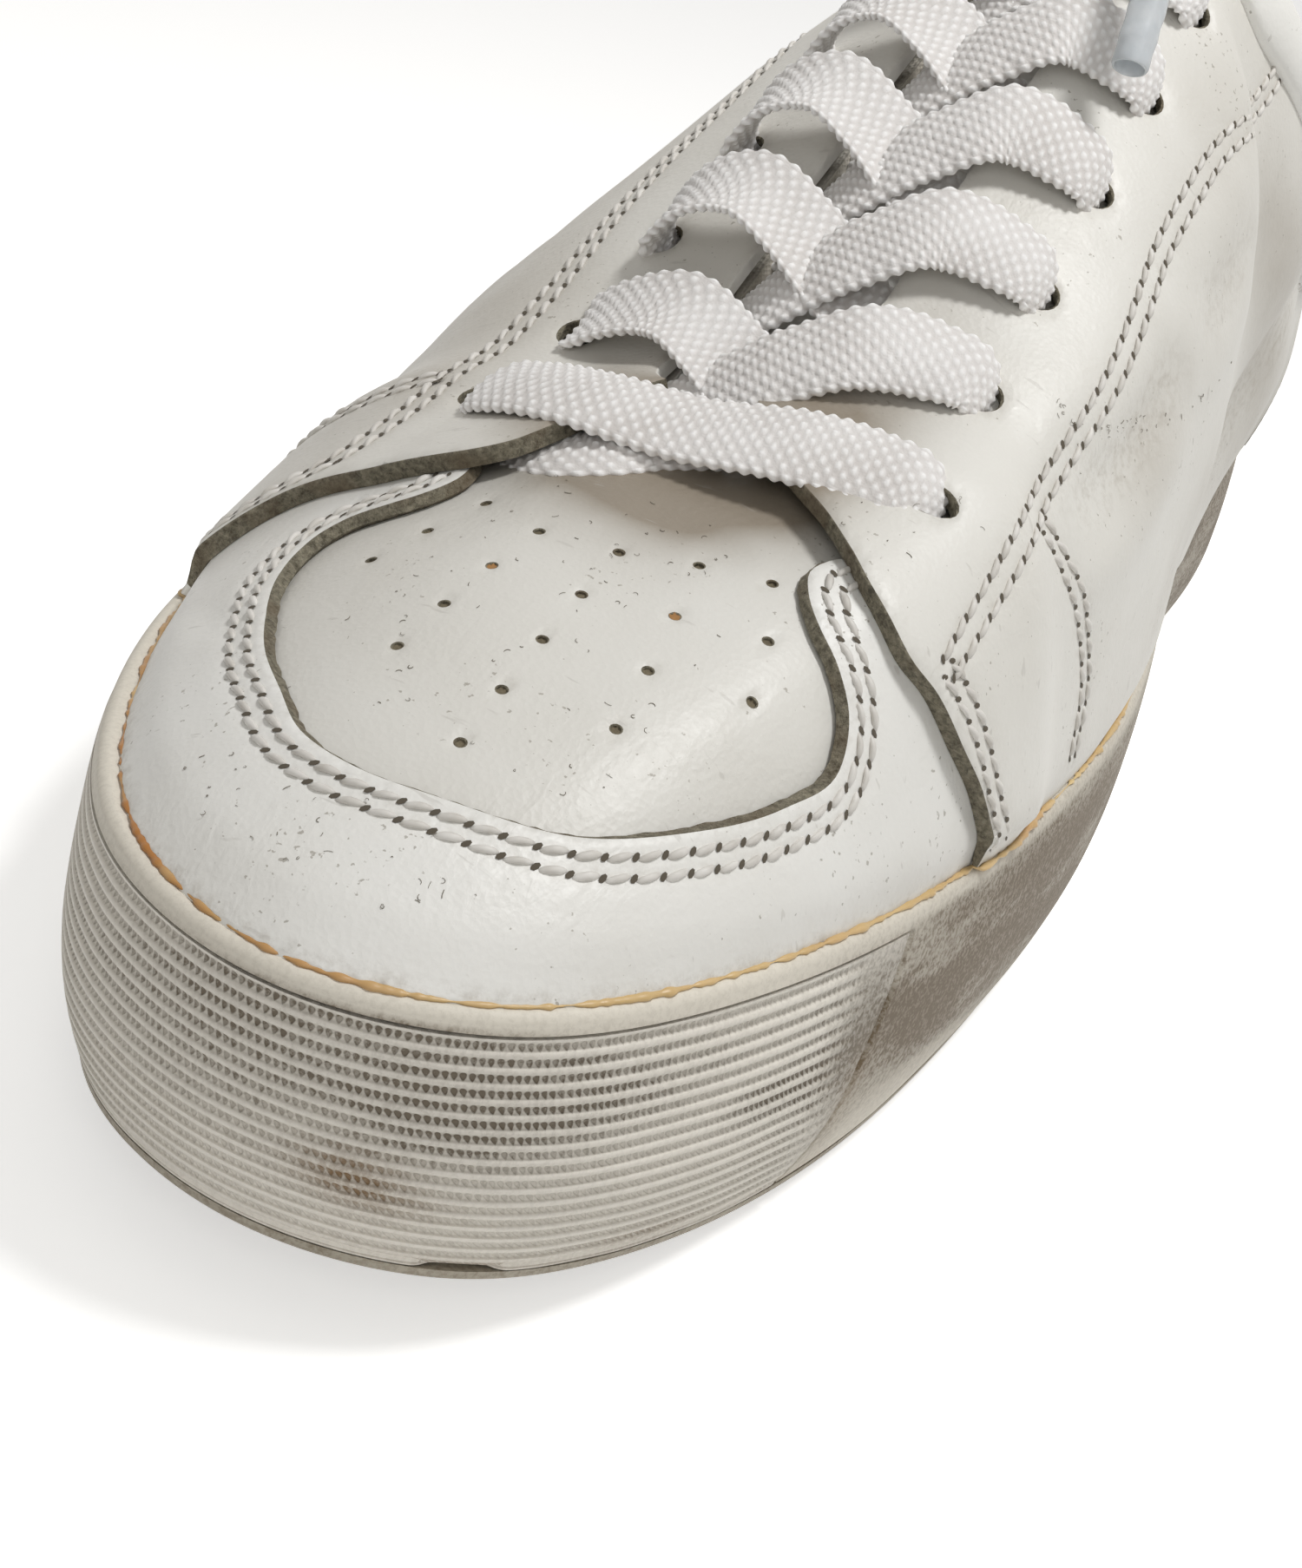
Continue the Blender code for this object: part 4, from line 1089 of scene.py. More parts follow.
def seam(name, line, top):
    """Row of stitches along a line of places: white thread that dips into needle holes."""
    point, _, _, normal = form_frame(line)
    point = point + normal * (top(point) + creased(point) - 0.14)[:, None]
    far = lengths_along(point)
    count = max(1, int(round(far[-1] / STITCH_PITCH)))
    at = np.linspace(0, far[-1], count + 1)
    holes = np.stack([np.interp(at, far, point[:, axis]) for axis in range(3)], 1)
    faces_up = unit(np.stack([np.interp(at, far, normal[:, axis]) for axis in range(3)], 1))
    start, end, up = holes[:-1], holes[1:], unit(faces_up[:-1] + faces_up[1:])
    run = unit(end - start)
    side = np.cross(up, run)
    part = np.linspace(0, 1, THREAD_RINGS)
    angle = np.linspace(0, 2 * np.pi, THREAD_SPOKES, endpoint=False)
    # a stitch spans most of the way between two holes, bows up and lies a little aslant
    reach = (0.07 + 0.86 * part)[None, :, None]
    centre = start[:, None] + (end - start)[:, None] * reach
    centre = centre + up[:, None] * (0.30 * np.sin(np.pi * part) - 0.12)[None, :, None]
    centre = centre + side[:, None] * (0.5 * (part - 0.5))[None, :, None]
    girth = THREAD_RADIUS * (0.45 + 0.55 * np.sin(np.pi * part) ** 0.5)[None, :, None, None]
    girth = girth * (1 + 0.10 * np.sin(np.arange(len(start)) * 1.7))[:, None, None, None]
    around = (np.cos(angle)[None, None, :, None] * side[:, None, None]
              + 0.8 * np.sin(angle)[None, None, :, None] * up[:, None, None])
    threads = (centre[:, :, None] + around * girth).reshape(-1, 3)
    stitch = THREAD_RINGS * THREAD_SPOKES
    faces = [tuple(i + n * stitch for i in face) for n in range(count)
             for face in tube_faces(THREAD_RINGS, THREAD_SPOKES)]
    indices = [0] * len(faces)
    dark = []
    for number, (hole, up_here) in enumerate(zip(holes, faces_up)):
        along = run[min(number, len(run) - 1)]
        first = unit(np.cross(up_here, along) + 0.9 * along)
        second = np.cross(up_here, first)
        base = len(threads) + len(dark)
        dark += [hole + up_here * 0.05
                 + NEEDLE_HOLE * (np.cos(a) * first + 0.55 * np.sin(a) * second)
                 for a in angle]
        dark.append(hole + up_here * 0.09)
        faces += fan_faces(base, THREAD_SPOKES)
        indices += [1] * THREAD_SPOKES
    return add_piece(name, np.concatenate([threads, np.array(dark)]), faces,
                     [THREAD, NEEDLE_DARK], indices=indices)


def thread_finish():
    """Bonded white polyester sewing thread, a little grey with wear."""
    made, tree, shader = new_material("bonded_polyester_thread", Roughness=0.55, Sheen_Weight=0.2)
    place = add_node(tree, "TexCoord").outputs["Object"]
    grey = add_node(tree, "TexNoise", Vector=place, Scale=500.0, Detail=2.0)
    colour = add_node(tree, "Mix", data_type="RGBA", Factor=grey, A="#F1EFEB", B="#B4AEA4")
    wire(shader, Base_Color=colour)
    return made


THREAD = thread_finish()
NEEDLE_DARK, _, _ = new_material("shadowed_needle_hole", Base_Color="#5A5348", Roughness=1.0)


def make_toe_overlay():
    window = unwrapped(trace(WINDOW))
    if window[:, 0].mean() > 0.5:
        window[:, 0] -= 1
    medial = unwrapped(trace([(86, 46, 34), (82, 43, 48), (77, 37, 55), (72, 32, 57)], 1.5))
    lateral = unwrapped(trace([(65, -15, 53), (70, -27, 48), (70, -34, 42), (68, -39, 33)], 1.5))
    lateral[:, 0] -= np.round(lateral[:, 0].mean() - window[-1, 0])
    foot = level_line(lateral[-1, 0], medial[0, 0], 0.0)
    outline = np.concatenate([foot, medial[1:-1], window, lateral[1:-1]])
    sewn = window[9:-9]
    inner, outer = shifted(sewn, 1.55), shifted(sewn, 3.3)
    panel("toe_overlay", outline, [], overlay_top, lambda p: 0.3 * foot_taper(p),
          [LEATHER, RAW_EDGE], seams=[inner, outer], edge=LASTED_EDGE, ragged=0.22)
    seam("toe_seam_inner", inner, overlay_top)
    seam("toe_seam_outer", outer, overlay_top)


make_toe_overlay()


# ---------------------------------------------------------------- quarters
# The two side panels, the thickest leather of the upper. Each runs from its raw front edge
# over the toe overlay back to the heel, and carries six plain punched eyelets. Twin rows of
# thread frame the facing and the forefoot.

def front_share(points):
    """1 where a quarter lies over the toe overlay, 0 farther back."""
    return eased((92 - (points[:, 1] - TOE_Y)) / 12)


def quarter_top(points):
    return (2.0 + 2.1 * front_share(points)) * foot_taper(points)


def quarter_under(points):
    return (0.4 + 1.65 * front_share(points)) * foot_taper(points)


MEDIAL_FRONT = [
    (71.6, 47.2, 33.0), (68.9, 44.4, 39.4), (64.7, 41.5, 45.4), (61.9, 38.5, 50.4),
    (59.8, 35.7, 53.4), (60.6, 31.5, 56.9), (63.5, 27.5, 58.8), (67.3, 22.7, 60.3),
    (69.8, 18.7, 61.1), (72.5, 15.0, 61.2), (77, 11.5, 61.3), (81, 9.4, 61.4),
]
LATERAL_FRONT = [
    (81, -0.8, 60.0), (76, -3.0, 59.6), (71.0, -4.3, 58.8), (66.3, -6.1, 57.8),
    (62.4, -8.0, 56.2), (60.4, -10.8, 54.4), (59.6, -14.3, 52.6), (59.7, -19.0, 49.9),
    (59.3, -22.8, 47.8), (58.6, -25.9, 46.0), (57.6, -28.8, 44.0), (56.0, -31.6, 41.6),
    (54.0, -34.2, 38.8), (52.2, -36.2, 36.0), (51.0, -37.4, 33.2),
]
MEDIAL_SEAM = [
    (73.8, 45.8, 33.2), (71.4, 43.2, 37.8), (69.1, 41.0, 43.3), (66.6, 38.5, 48.2),
    (64.7, 36.5, 51.0),
]
MEDIAL_FACING_SEAM = [
    (64.7, 36.5, 51.0), (68.3, 36.4, 52.8), (73.7, 36.2, 55.4), (80.9, 36.0, 58.9),
    (88.6, 36.4, 62.8), (106, 36.2, 72.3), (127.2, 33.6, 86.6), (138.6, 32.7, 92.1),
    (162.3, 31, 97), (170, 30.6, 100.5),
]
MEDIAL_BRANCH = [
    (87.2, 38.6, 61.4), (91, 41.8, 56.6), (96.2, 44.7, 49.2), (98.9, 46.6, 42.1),
    (98.4, 47.9, 35),
]
LATERAL_SEAM = [
    (56.2, -37.6, 33.4), (57.4, -33.2, 39.2), (60.3, -28.4, 42.6), (63.5, -25.6, 45.2),
]
LATERAL_FACING_SEAM = [
    (63.5, -25.6, 45.2), (67.2, -24.9, 46.9), (72.5, -24.5, 48.9), (81.0, -24.5, 52.0),
    (90.7, -24.5, 56.3), (100.5, -24.6, 61.6), (118.9, -26.2, 72), (140, -27, 82),
    (160, -27, 92),
]
LATERAL_BRANCH = [
    (81.0, -25.6, 51.8), (79.9, -28.1, 49.7), (78.4, -31.4, 47.4), (78.2, -36.2, 43.6),
    (79.8, -40.6, 38.8), (82.0, -43.6, 34.2),
]


def make_quarter(side, front, sole_seam, facing_seam, branch):
    """One side panel; side is 1 medial, -1 lateral."""
    name = "medial" if side > 0 else "lateral"
    front = unwrapped(trace(front))
    cuts = []
    for row in range(EYELET_ROWS):
        _, point, _ = eyelet_place(row, side)
        cuts.append(circle((point[1] - TOE_Y, point[0], point[2]), EYELET_RADIUS, 20))
    seams = []
    for number, line in enumerate((sole_seam, facing_seam, branch)):
        line = unwrapped(trace(line))
        for gap in (-1.0, 1.0):
            seams.append((f"{name}_seam_{number + 1}{'a' if gap < 0 else 'b'}",
                          shifted(line, gap * side)))
    if side > 0:
        front[0, 1], front[-1, 1] = 0.0, 1.0
        front[:, 0] -= np.round(front[0, 0])
        outline = np.concatenate([level_line(front[0, 0], 0.5, 0.0),
                                  level_line(0.5, front[-1, 0], 1.0), front[::-1][1:-1]])
    else:
        front[-1, 1], front[0, 1] = 0.0, 1.0
        front[:, 0] -= np.round(front[0, 0] - 0.9)
        outline = np.concatenate([level_line(0.5, front[-1, 0], 0.0), front[::-1][1:-1],
                                  level_line(front[0, 0], 0.5, 1.0)])
    panel(f"{name}_quarter", outline, cuts, quarter_top, quarter_under, [SIDE_LEATHER, RAW_EDGE],
          seams=[line for _, line in seams], ragged=0.3)
    for title, line in seams:
        seam(title, line, quarter_top)


make_quarter(1, MEDIAL_FRONT, MEDIAL_SEAM, MEDIAL_FACING_SEAM, MEDIAL_BRANCH)
make_quarter(-1, LATERAL_FRONT, LATERAL_SEAM, LATERAL_FACING_SEAM, LATERAL_BRANCH)


RANDOM = np.random.default_rng(7)
# near and far, left and right, height of the leather over the form, and how many
LINT = [
    (6, 15, -8, 22, 2.0, 30), (24, 50, -10, 26, VAMP_TOP, 44), (52, 64, -4, 18, VAMP_TOP, 24),
    (66, 80, 21, 34, 4.1, 18), (98, 150, 27, 33, 2.0, 34), (84, 120, 34, 38, 2.0, 16),
]


def make_lint():
    """Hair-fine fibres and crumbs of dirt that cling to the leather."""
    spots = []
    for near, far, left, right, top, count in LINT:
        for _ in range(count):
            along, across = RANDOM.uniform(near, far), RANDOM.uniform(left, right)
            spots.append((across, along + TOE_Y, 60.0, top))
    spots = np.array(spots)
    places, _, _ = settled(locate(spots[:, :3]), spots[:, :2])
    here, around, _, normal = form_frame(places)
    here = here + normal * (spots[:, 3:] + creased(here)[:, None] + 0.04)
    points, faces = [], []
    for middle, first, up in zip(here, unit(around), normal):
        second = np.cross(up, first)
        heading, bend = RANDOM.uniform(0, 2 * np.pi), RANDOM.uniform(-1.5, 1.5)
        half, radius = RANDOM.uniform(0.10, 0.42), RANDOM.uniform(0.022, 0.042)
        base = len(points)
        for part in np.linspace(-1, 1, 6):
            turned = heading + bend * part
            centre = middle + half * part * (np.cos(turned) * first + np.sin(turned) * second)
            side = np.cross(up, np.cos(turned) * first + np.sin(turned) * second)
            points += [centre + side * radius, centre + up * radius * 1.5, centre - side * radius]
        faces += [tuple(base + i for i in face) for face in grid_faces(6, 3, False, True)]
    lint, _, _ = new_material("grey_lint", Base_Color="#857F73", Roughness=1.0)
    add_piece("lint", points, faces, [lint])


make_lint()


# ---------------------------------------------------------------- collar
# Foam roll covered in the same leather, folded over the ankle opening and into the lining.

COLLAR_START = 0.268     # turn of its front end on the medial side
COLLAR_END = 0.735
COLLAR_COLUMNS = 200


def make_collar():
    turns = np.linspace(COLLAR_START, COLLAR_END, COLLAR_COLUMNS)
    swell = eased(np.minimum((turns - COLLAR_START) / 0.02, (COLLAR_END - turns) / 0.02))
    swell = swell ** 0.5
    low_climb = 1 - 0.10 * swell - 0.02
    # rows over the roll: climb between its lower edge and the opening, and height over the form
    section = [(0.0, 1.2), (0.0, 2.6), (0.06, 3.3), (0.25, 4.2), (0.5, 4.6), (0.75, 4.5),
               (0.93, 3.8), (1.0, 2.4), (1.0, 0.4), (1.0, -1.8), (0.93, -3.6), (0.75, -4.6),
               (0.45, -4.8), (0.15, -4.0), (0.0, -2.8), (0.0, -0.6)]
    rings = []
    for share, lift in section:
        climb = low_climb + (1 - low_climb) * share
        point, _, _, normal = form_frame(np.stack([turns, climb], 1))
        if 0.06 < share:
            lift = np.where(lift > 0, 2.2 + (lift - 2.2) * swell, -2.0 + (lift + 2.0) * swell)
        over = eased((share - 0.75) / 0.25) * (1.6 - 0.25 * np.abs(lift)) * swell
        fold = 0.25 * lumps(point, 7)
        rings.append(point + normal * (lift + fold)[:, None] + UP * over[:, None])
    rings = np.array(rings).transpose(1, 0, 2)
    count, around = rings.shape[:2]
    clean = np.zeros(count * around)
    made = add_piece("collar", rings.reshape(-1, 3), tube_faces(count, around), [LEATHER],
                     sharp=70, marks={"wear": clean, "dirt": clean})
    rounded = made.modifiers.new("smooth", "SUBSURF")
    rounded.levels = rounded.render_levels = 1
    line = np.stack([turns[45:-30], (low_climb - 0.045)[45:-30]], 1)
    seam("collar_seam", line, quarter_top)


make_collar()


# ---------------------------------------------------------------- heel
# A second layer of leather round the heel, sewn on with two rows over the stiff counter.

def heel_top(points):
    return np.full(len(points), 3.3)


def make_heel():
    turns = np.linspace(0.425, 0.575, 110)
    crown = 0.70 - 0.42 * (np.abs(turns - 0.5) / 0.075) ** 2.6
    outline = np.concatenate([level_line(0.425, 0.575, 0.0), np.stack([turns, crown], 1)[::-1]])
    line = np.stack([turns, crown], 1)[::-1]
    inner, outer = shifted(line, 2.2), shifted(line, 4.6)
    inner, outer = inner[4:-4], outer[8:-8]
    panel("heel_overlay", outline, [], heel_top, lambda p: np.full(len(p), 2.05),
          [LEATHER, RAW_EDGE], seams=[inner, outer])
    seam("heel_seam_inner", inner, heel_top)
    seam("heel_seam_outer", outer, heel_top)


make_heel()


# ---------------------------------------------------------------- tongue
# Leather over a thin foam, sewn in under the throat and padded at its free end.

TongueRow = namedtuple("TongueRow", "along height half_width drop lean padding")
TONGUE = [
    TongueRow(70, 55.4, 15, 2.5, 3.0, 1.0), TongueRow(82, 58.2, 19, 4.2, 4.2, 1.0),
    TongueRow(95, 65.4, 19, 5.6, 5.2, 1.0), TongueRow(115, 79.6, 20, 7.8, 4.6, 1.0),
    TongueRow(137, 94.8, 18, 7.6, 4.6, 1.2), TongueRow(156, 105.6, 16, 10.5, 4.4, 1.6),
    TongueRow(168, 112.5, 13, 9.0, 2.2, 2.6), TongueRow(179, 119.5, 16, 8.0, 1.5, 3.2),
    TongueRow(187, 124.5, 14.5, 6.5, 1.0, 2.2), TongueRow(189, 125.6, 12.5, 6.0, 0.8, 0.4),
]
TONGUE_SIDES = 22
TONGUE_ROWS = 90


def make_tongue():
    stations = np.array([row.along for row in TONGUE], float)
    at = np.linspace(stations[0], stations[-1], TONGUE_ROWS)
    shape = through(stations, [tuple(row)[1:] for row in TONGUE], at)
    across = np.sin(np.linspace(-np.pi / 2, np.pi / 2, TONGUE_SIDES))
    rings = []
    for along, (height, half, drop, lean, padding) in zip(at, shape):
        middle = height - 1.6 - drop * across ** 2 + lean * across
        body = (1.6 + (padding - 1)) * np.sqrt(np.clip(1 - across ** 4, 0, 1))
        body = np.maximum(body, 0.05)
        x, y = THROAT_MIDDLE + half * across, np.full(TONGUE_SIDES, along + TOE_Y)
        back = -0.55 * body
        front = np.stack([x, y + back, middle + body], 1)
        rear = np.stack([x, y - back, middle - body], 1)
        rings.append(np.concatenate([front, rear[::-1][1:-1]]))
    rings = np.array(rings)
    count, around = rings.shape[:2]
    points = rings.reshape(-1, 3)
    points = points + 0.25 * lumps(points, 9)[:, None] * np.array([0, -0.5, 0.8])
    made = add_piece("tongue_pad", points, tube_faces(count, around), [LEATHER],
                     marks={"wear": np.full(count * around, 0.15),
                            "dirt": np.full(count * around, 0.12)})
    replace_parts(made, "tongue")


make_tongue()


# ---------------------------------------------------------------- rubber wall
# Vulcanised off-white rubber tape wrapped round the upper, with a flat top ledge. It is smooth
# and has taken up grey-brown dirt, most beside the ball of the foot.

WALL_FOOT = 1.3          # above the ground, over the outsole's thin lip
WALL_EDGE = 1.1          # radius of its rounded top edge
WALL_COLUMNS = 720
WALL_ROWS = 44
BUMPER_START = -0.145    # turn of the toe bumper's lateral end
BUMPER_END = 0.126
BUMPER_TOP = 0.928       # of the wall's height
BUMPER_SLANT = 0.010     # how much farther its ends reach at the top
BUMPER_DEPTH = 1.75      # the wall lies in by this behind it


def wall_inset(rise):
    """The wall's face lies in from the outline by this, rise 0 at its foot, 1 at its top."""
    return (np.clip((rise - 0.5) / 0.5, 0, None) ** 2
            + 2.8 * np.clip((0.45 - rise) / 0.45, 0, None) ** 2)


def wall_height(y, rise):
    low = ground_height(y) + WALL_FOOT
    return low + (rubber_height(y) - low) * rise


RUBBER_MARKS = ("soil", "brown", "ribbed", "rib", "along")
PIT_PITCH = 0.78         # between the small pits of a groove


def rubber_finish(name, clean, grime_and_shade_colour):
    """Vulcanised rubber: dull and a little waxy. soil and brown are where dirt and stains lie
    thick; soil also carries painted shade on the medial rear. Where ribbed is 1, it has grooves
    with a row of small round pits in each: rib counts the ribs and along is millimetres round
    the shoe. Grooves and pits are painted a little darker as shade."""
    made, tree, shader = new_material(name, Roughness=0.62, IOR=1.52)
    place = add_node(tree, "TexCoord").outputs["Object"]
    soil, brown, ribbed, rib, along = [
        add_node(tree, "Attribute", attribute_name=mark).outputs["Fac"] for mark in RUBBER_MARKS]
    wander = add_node(tree, "TexNoise", Vector=place, Scale=260.0, Detail=1.0)
    # the grooves between the ribs, and a row of pits in each groove
    strayed = add_node(tree, "Math", wander, 0.7, along, operation="MULTIPLY_ADD")
    turned = add_node(tree, "Math", rib, 2 * np.pi, operation="MULTIPLY")
    across = add_node(tree, "Math", turned, operation="COSINE")
    spaced = add_node(tree, "Math", strayed, 2 * np.pi / PIT_PITCH, operation="MULTIPLY")
    row = add_node(tree, "Math", spaced, operation="COSINE")
    hollow = add_node(tree, "MapRange", across, 0.55, -0.25, interpolation_type="SMOOTHSTEP")
    groove = add_node(tree, "Math", hollow, ribbed, operation="MULTIPLY")
    raised = add_node(tree, "Math", row, 0.6, operation="MULTIPLY")
    round_pit = add_node(tree, "Math", raised, across, operation="SUBTRACT")
    sunk = add_node(tree, "MapRange", round_pit, 0.22, 0.90, interpolation_type="SMOOTHSTEP")
    pit = add_node(tree, "Math", sunk, ribbed, operation="MULTIPLY")
    # dirt smeared lengthwise, thick in the pits and thin on the ribs; every pit also gets 0.10 of
    # painted shade
    drawn = add_node(tree, "Mapping", Vector=place, Scale=(70.0, 36.0, 150.0))
    smear = add_node(tree, "TexNoise", Vector=drawn, Scale=1.0, Detail=5.0, Roughness=0.62)
    fine = add_node(tree, "TexNoise", Vector=place, Scale=1700.0, Detail=4.0, Roughness=0.7)
    uneven = add_node(tree, "MapRange", smear, 0.36, 0.60, 0.62, 1.0,
                      interpolation_type="SMOOTHSTEP")
    soiled = add_node(tree, "Math", soil, uneven, operation="MULTIPLY")
    packed = add_node(tree, "Math", soiled, 0.88, 0.10, operation="MULTIPLY_ADD")
    in_pits = add_node(tree, "Math", pit, packed, operation="MULTIPLY")
    wiped = add_node(tree, "Math", ribbed, 0.78, operation="MULTIPLY")
    smooth = add_node(tree, "Math", 1.0, wiped, operation="SUBTRACT")
    spread = add_node(tree, "Math", soiled, 1.12, 0.03, operation="MULTIPLY_ADD")
    on_top = add_node(tree, "Math", spread, smooth, operation="MULTIPLY")
    speck = add_node(tree, "MapRange", fine, 0.40, 0.66, 0.74, 1.14,
                     interpolation_type="SMOOTHSTEP")
    both = add_node(tree, "Math", in_pits, on_top, operation="ADD")
    # painted shade: every groove is darkened by 0.08 towards the dark colour, dirty or not
    shaded = add_node(tree, "Math", groove, 0.08, both, operation="MULTIPLY_ADD")
    dusty = add_node(tree, "MapRange", fine, 0.42, 0.64, interpolation_type="SMOOTHSTEP")
    specked = add_node(tree, "Math", shaded, speck, operation="MULTIPLY")
    amount = add_node(tree, "Math", dusty, 0.09, specked, operation="MULTIPLY_ADD")
    grimed_and_shaded = add_node(tree, "Mix", data_type="RGBA", Factor=amount, A=clean, B=grime_and_shade_colour)
    # brown stains, deeper in the pits
    patch = add_node(tree, "MapRange", fine, 0.3, 0.6, 0.2, 0.6, interpolation_type="SMOOTHSTEP")
    deeper = add_node(tree, "Math", pit, 0.5, patch, operation="MULTIPLY_ADD")
    tinted = add_node(tree, "Math", brown, deeper, operation="MULTIPLY")
    browned = add_node(tree, "Mix", data_type="RGBA", Factor=tinted, A=grimed_and_shaded, B="#7D6547")
    low = add_node(tree, "Math", pit, groove, operation="ADD")
    lowered = add_node(tree, "Math", low, -0.5, operation="MULTIPLY")
    depth = add_node(tree, "Math", fine, 0.18, lowered, operation="MULTIPLY_ADD")
    bump = add_node(tree, "Bump", Height=depth, Strength=0.6, Distance=0.0003)
    wire(shader, Base_Color=browned, Normal=bump)
    return made


SOIL_AND_SHADE = [
    Stain(0.034, 0.80, 0.030, 0.18, 1.0), Stain(0.010, 0.84, 0.022, 0.12, 0.7),
    Stain(0.056, 0.70, 0.026, 0.18, 0.95), Stain(0.086, 0.76, 0.022, 0.12, 0.45),
    Stain(0.026, 0.50, 0.034, 0.18, 0.45), Stain(0.108, 0.53, 0.008, 0.08, 1.0),
    Stain(-0.020, 0.72, 0.030, 0.24, 0.40), Stain(-0.060, 0.45, 0.050, 0.35, 0.35),
    Stain(0.121, 0.52, 0.011, 0.42, 0.75), Stain(0.140, 0.66, 0.012, 0.30, 0.9),
    Stain(0.162, 0.60, 0.024, 0.42, 1.0), Stain(0.200, 0.52, 0.036, 0.50, 1.0),
    # the patches at turns 0.330 and 0.405, on the medial rear, are dirt and painted shade
    Stain(0.260, 0.45, 0.050, 0.50, 1.0), Stain(0.330, 0.45, 0.050, 0.60, 0.9),
    Stain(0.405, 0.50, 0.060, 0.70, 1.0), Stain(0.500, 0.40, 0.050, 0.35, 0.7),
    Stain(0.680, 0.35, 0.060, 0.30, 0.5), Stain(0.820, 0.45, 0.040, 0.35, 0.7),
]
BROWN = [
    Stain(0.026, 0.36, 0.010, 0.09, 1.0), Stain(0.034, 0.28, 0.012, 0.07, 0.5),
    Stain(0.093, 0.06, 0.010, 0.06, 0.5), Stain(0.126, 0.34, 0.003, 0.22, 0.55),
    Stain(0.060, 0.03, 0.060, 0.03, 0.5),
]


def wall_points(turns, depth, rise):
    points = inset(turns, depth)
    return np.column_stack([points, wall_height(points[:, 1], rise)])


def make_wall():
    close = np.linspace(-0.006, 0.006, 31)
    even = np.unique(np.concatenate([np.arange(WALL_COLUMNS) / WALL_COLUMNS, BUMPER_END + close,
                                     BUMPER_START + 1 + close]))
    away = from_toe(even)
    covered = 1 - eased(np.maximum(away - BUMPER_END, BUMPER_START - away) / 0.0012)
    pull = (np.exp(-((away - BUMPER_END) / 0.02) ** 2)
            - np.exp(-((away - BUMPER_START) / 0.02) ** 2))
    rings, soil, brown = [], [], []

    def add_ring(points, turns, rise):
        rings.append(points)
        soil.append(stained(SOIL_AND_SHADE, turns, rise))
        brown.append(stained(BROWN, turns, rise))

    for rise in np.linspace(0, 0.925, WALL_ROWS):
        turns = even + BUMPER_SLANT * (rise - 0.5) * pull
        wave = 0.12 * lumps(np.column_stack([inset(turns, 0.0), 20 * rise + 0 * turns]), 16)
        depth = wall_inset(rise) + covered * BUMPER_DEPTH + wave
        add_ring(wall_points(turns, depth, rise), turns, rise)
    # a lip over the bumper, a rounded edge, and the ledge, worn a little hollow
    turns = even + BUMPER_SLANT * 0.43 * pull
    ledge = SLOPES(turns)[:, 4]
    add_ring(wall_points(turns, wall_inset(0.93) + covered * 0.2, 0.93), turns, 0.93)
    add_ring(wall_points(turns, wall_inset(0.94), 0.935), turns, 0.94)
    for angle in np.linspace(0, np.pi / 2, 7):
        points = wall_points(turns, wall_inset(1.0) + WALL_EDGE * (1 - np.cos(angle)), 1.0)
        points[:, 2] -= WALL_EDGE * (1 - np.sin(angle))
        add_ring(points, turns, 1.15)
    flat_from = wall_inset(1.0) + WALL_EDGE
    for share in (0.25, 0.5, 0.75, 1.0):
        points = wall_points(turns, flat_from + (ledge + 0.1 - flat_from) * share, 1.0)
        points[:, 2] += 0.14 * lumps(points, 2.4)
        points[:, 2] -= 0.10 * np.sin(np.pi * share)
        add_ring(points, turns, 1.3)
    for depth, height in ((ledge - 0.15, bed_height), (ledge + 2.4, bed_height),
                          (ledge + 2.4, lambda y: wall_height(y, 0.0))):
        add_ring(level_ring(turns, depth, height), turns, 2.0)
    none = np.zeros(len(rings) * len(even))
    made = add_piece("wall", np.concatenate(rings), grid_faces(len(rings), len(even), True, True),
                     [WALL_RUBBER], sharp=60,
                     marks={"soil": np.concatenate(soil), "brown": np.concatenate(brown),
                            "ribbed": none, "rib": none, "along": none})
    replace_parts(made, "foxing")


WALL_RUBBER = rubber_finish("vulcanised_wall_rubber", "#E0DACD", "#5E4F39")
make_wall()


# ---------------------------------------------------------------- toe bumper
# A strip of moulded rubber cemented round the toe, with seventeen fine ribs and pitted grooves
# between them. Its foot has come away from the outsole in one place.

RIBS = 17
RIB_DEPTH = 0.38
ROWS_OF_RIB = 7
BUMPER_COLUMNS = 640
TORN_TURN = 0.0545       # where its foot has come away


def bumper_turns(rise, parts):
    """Turns of the bumper's parts, 0 at its lateral end and 1 at its medial end."""
    lean = BUMPER_SLANT * (rise - 0.5)
    return BUMPER_START - lean + (BUMPER_END - BUMPER_START + 2 * lean) * parts


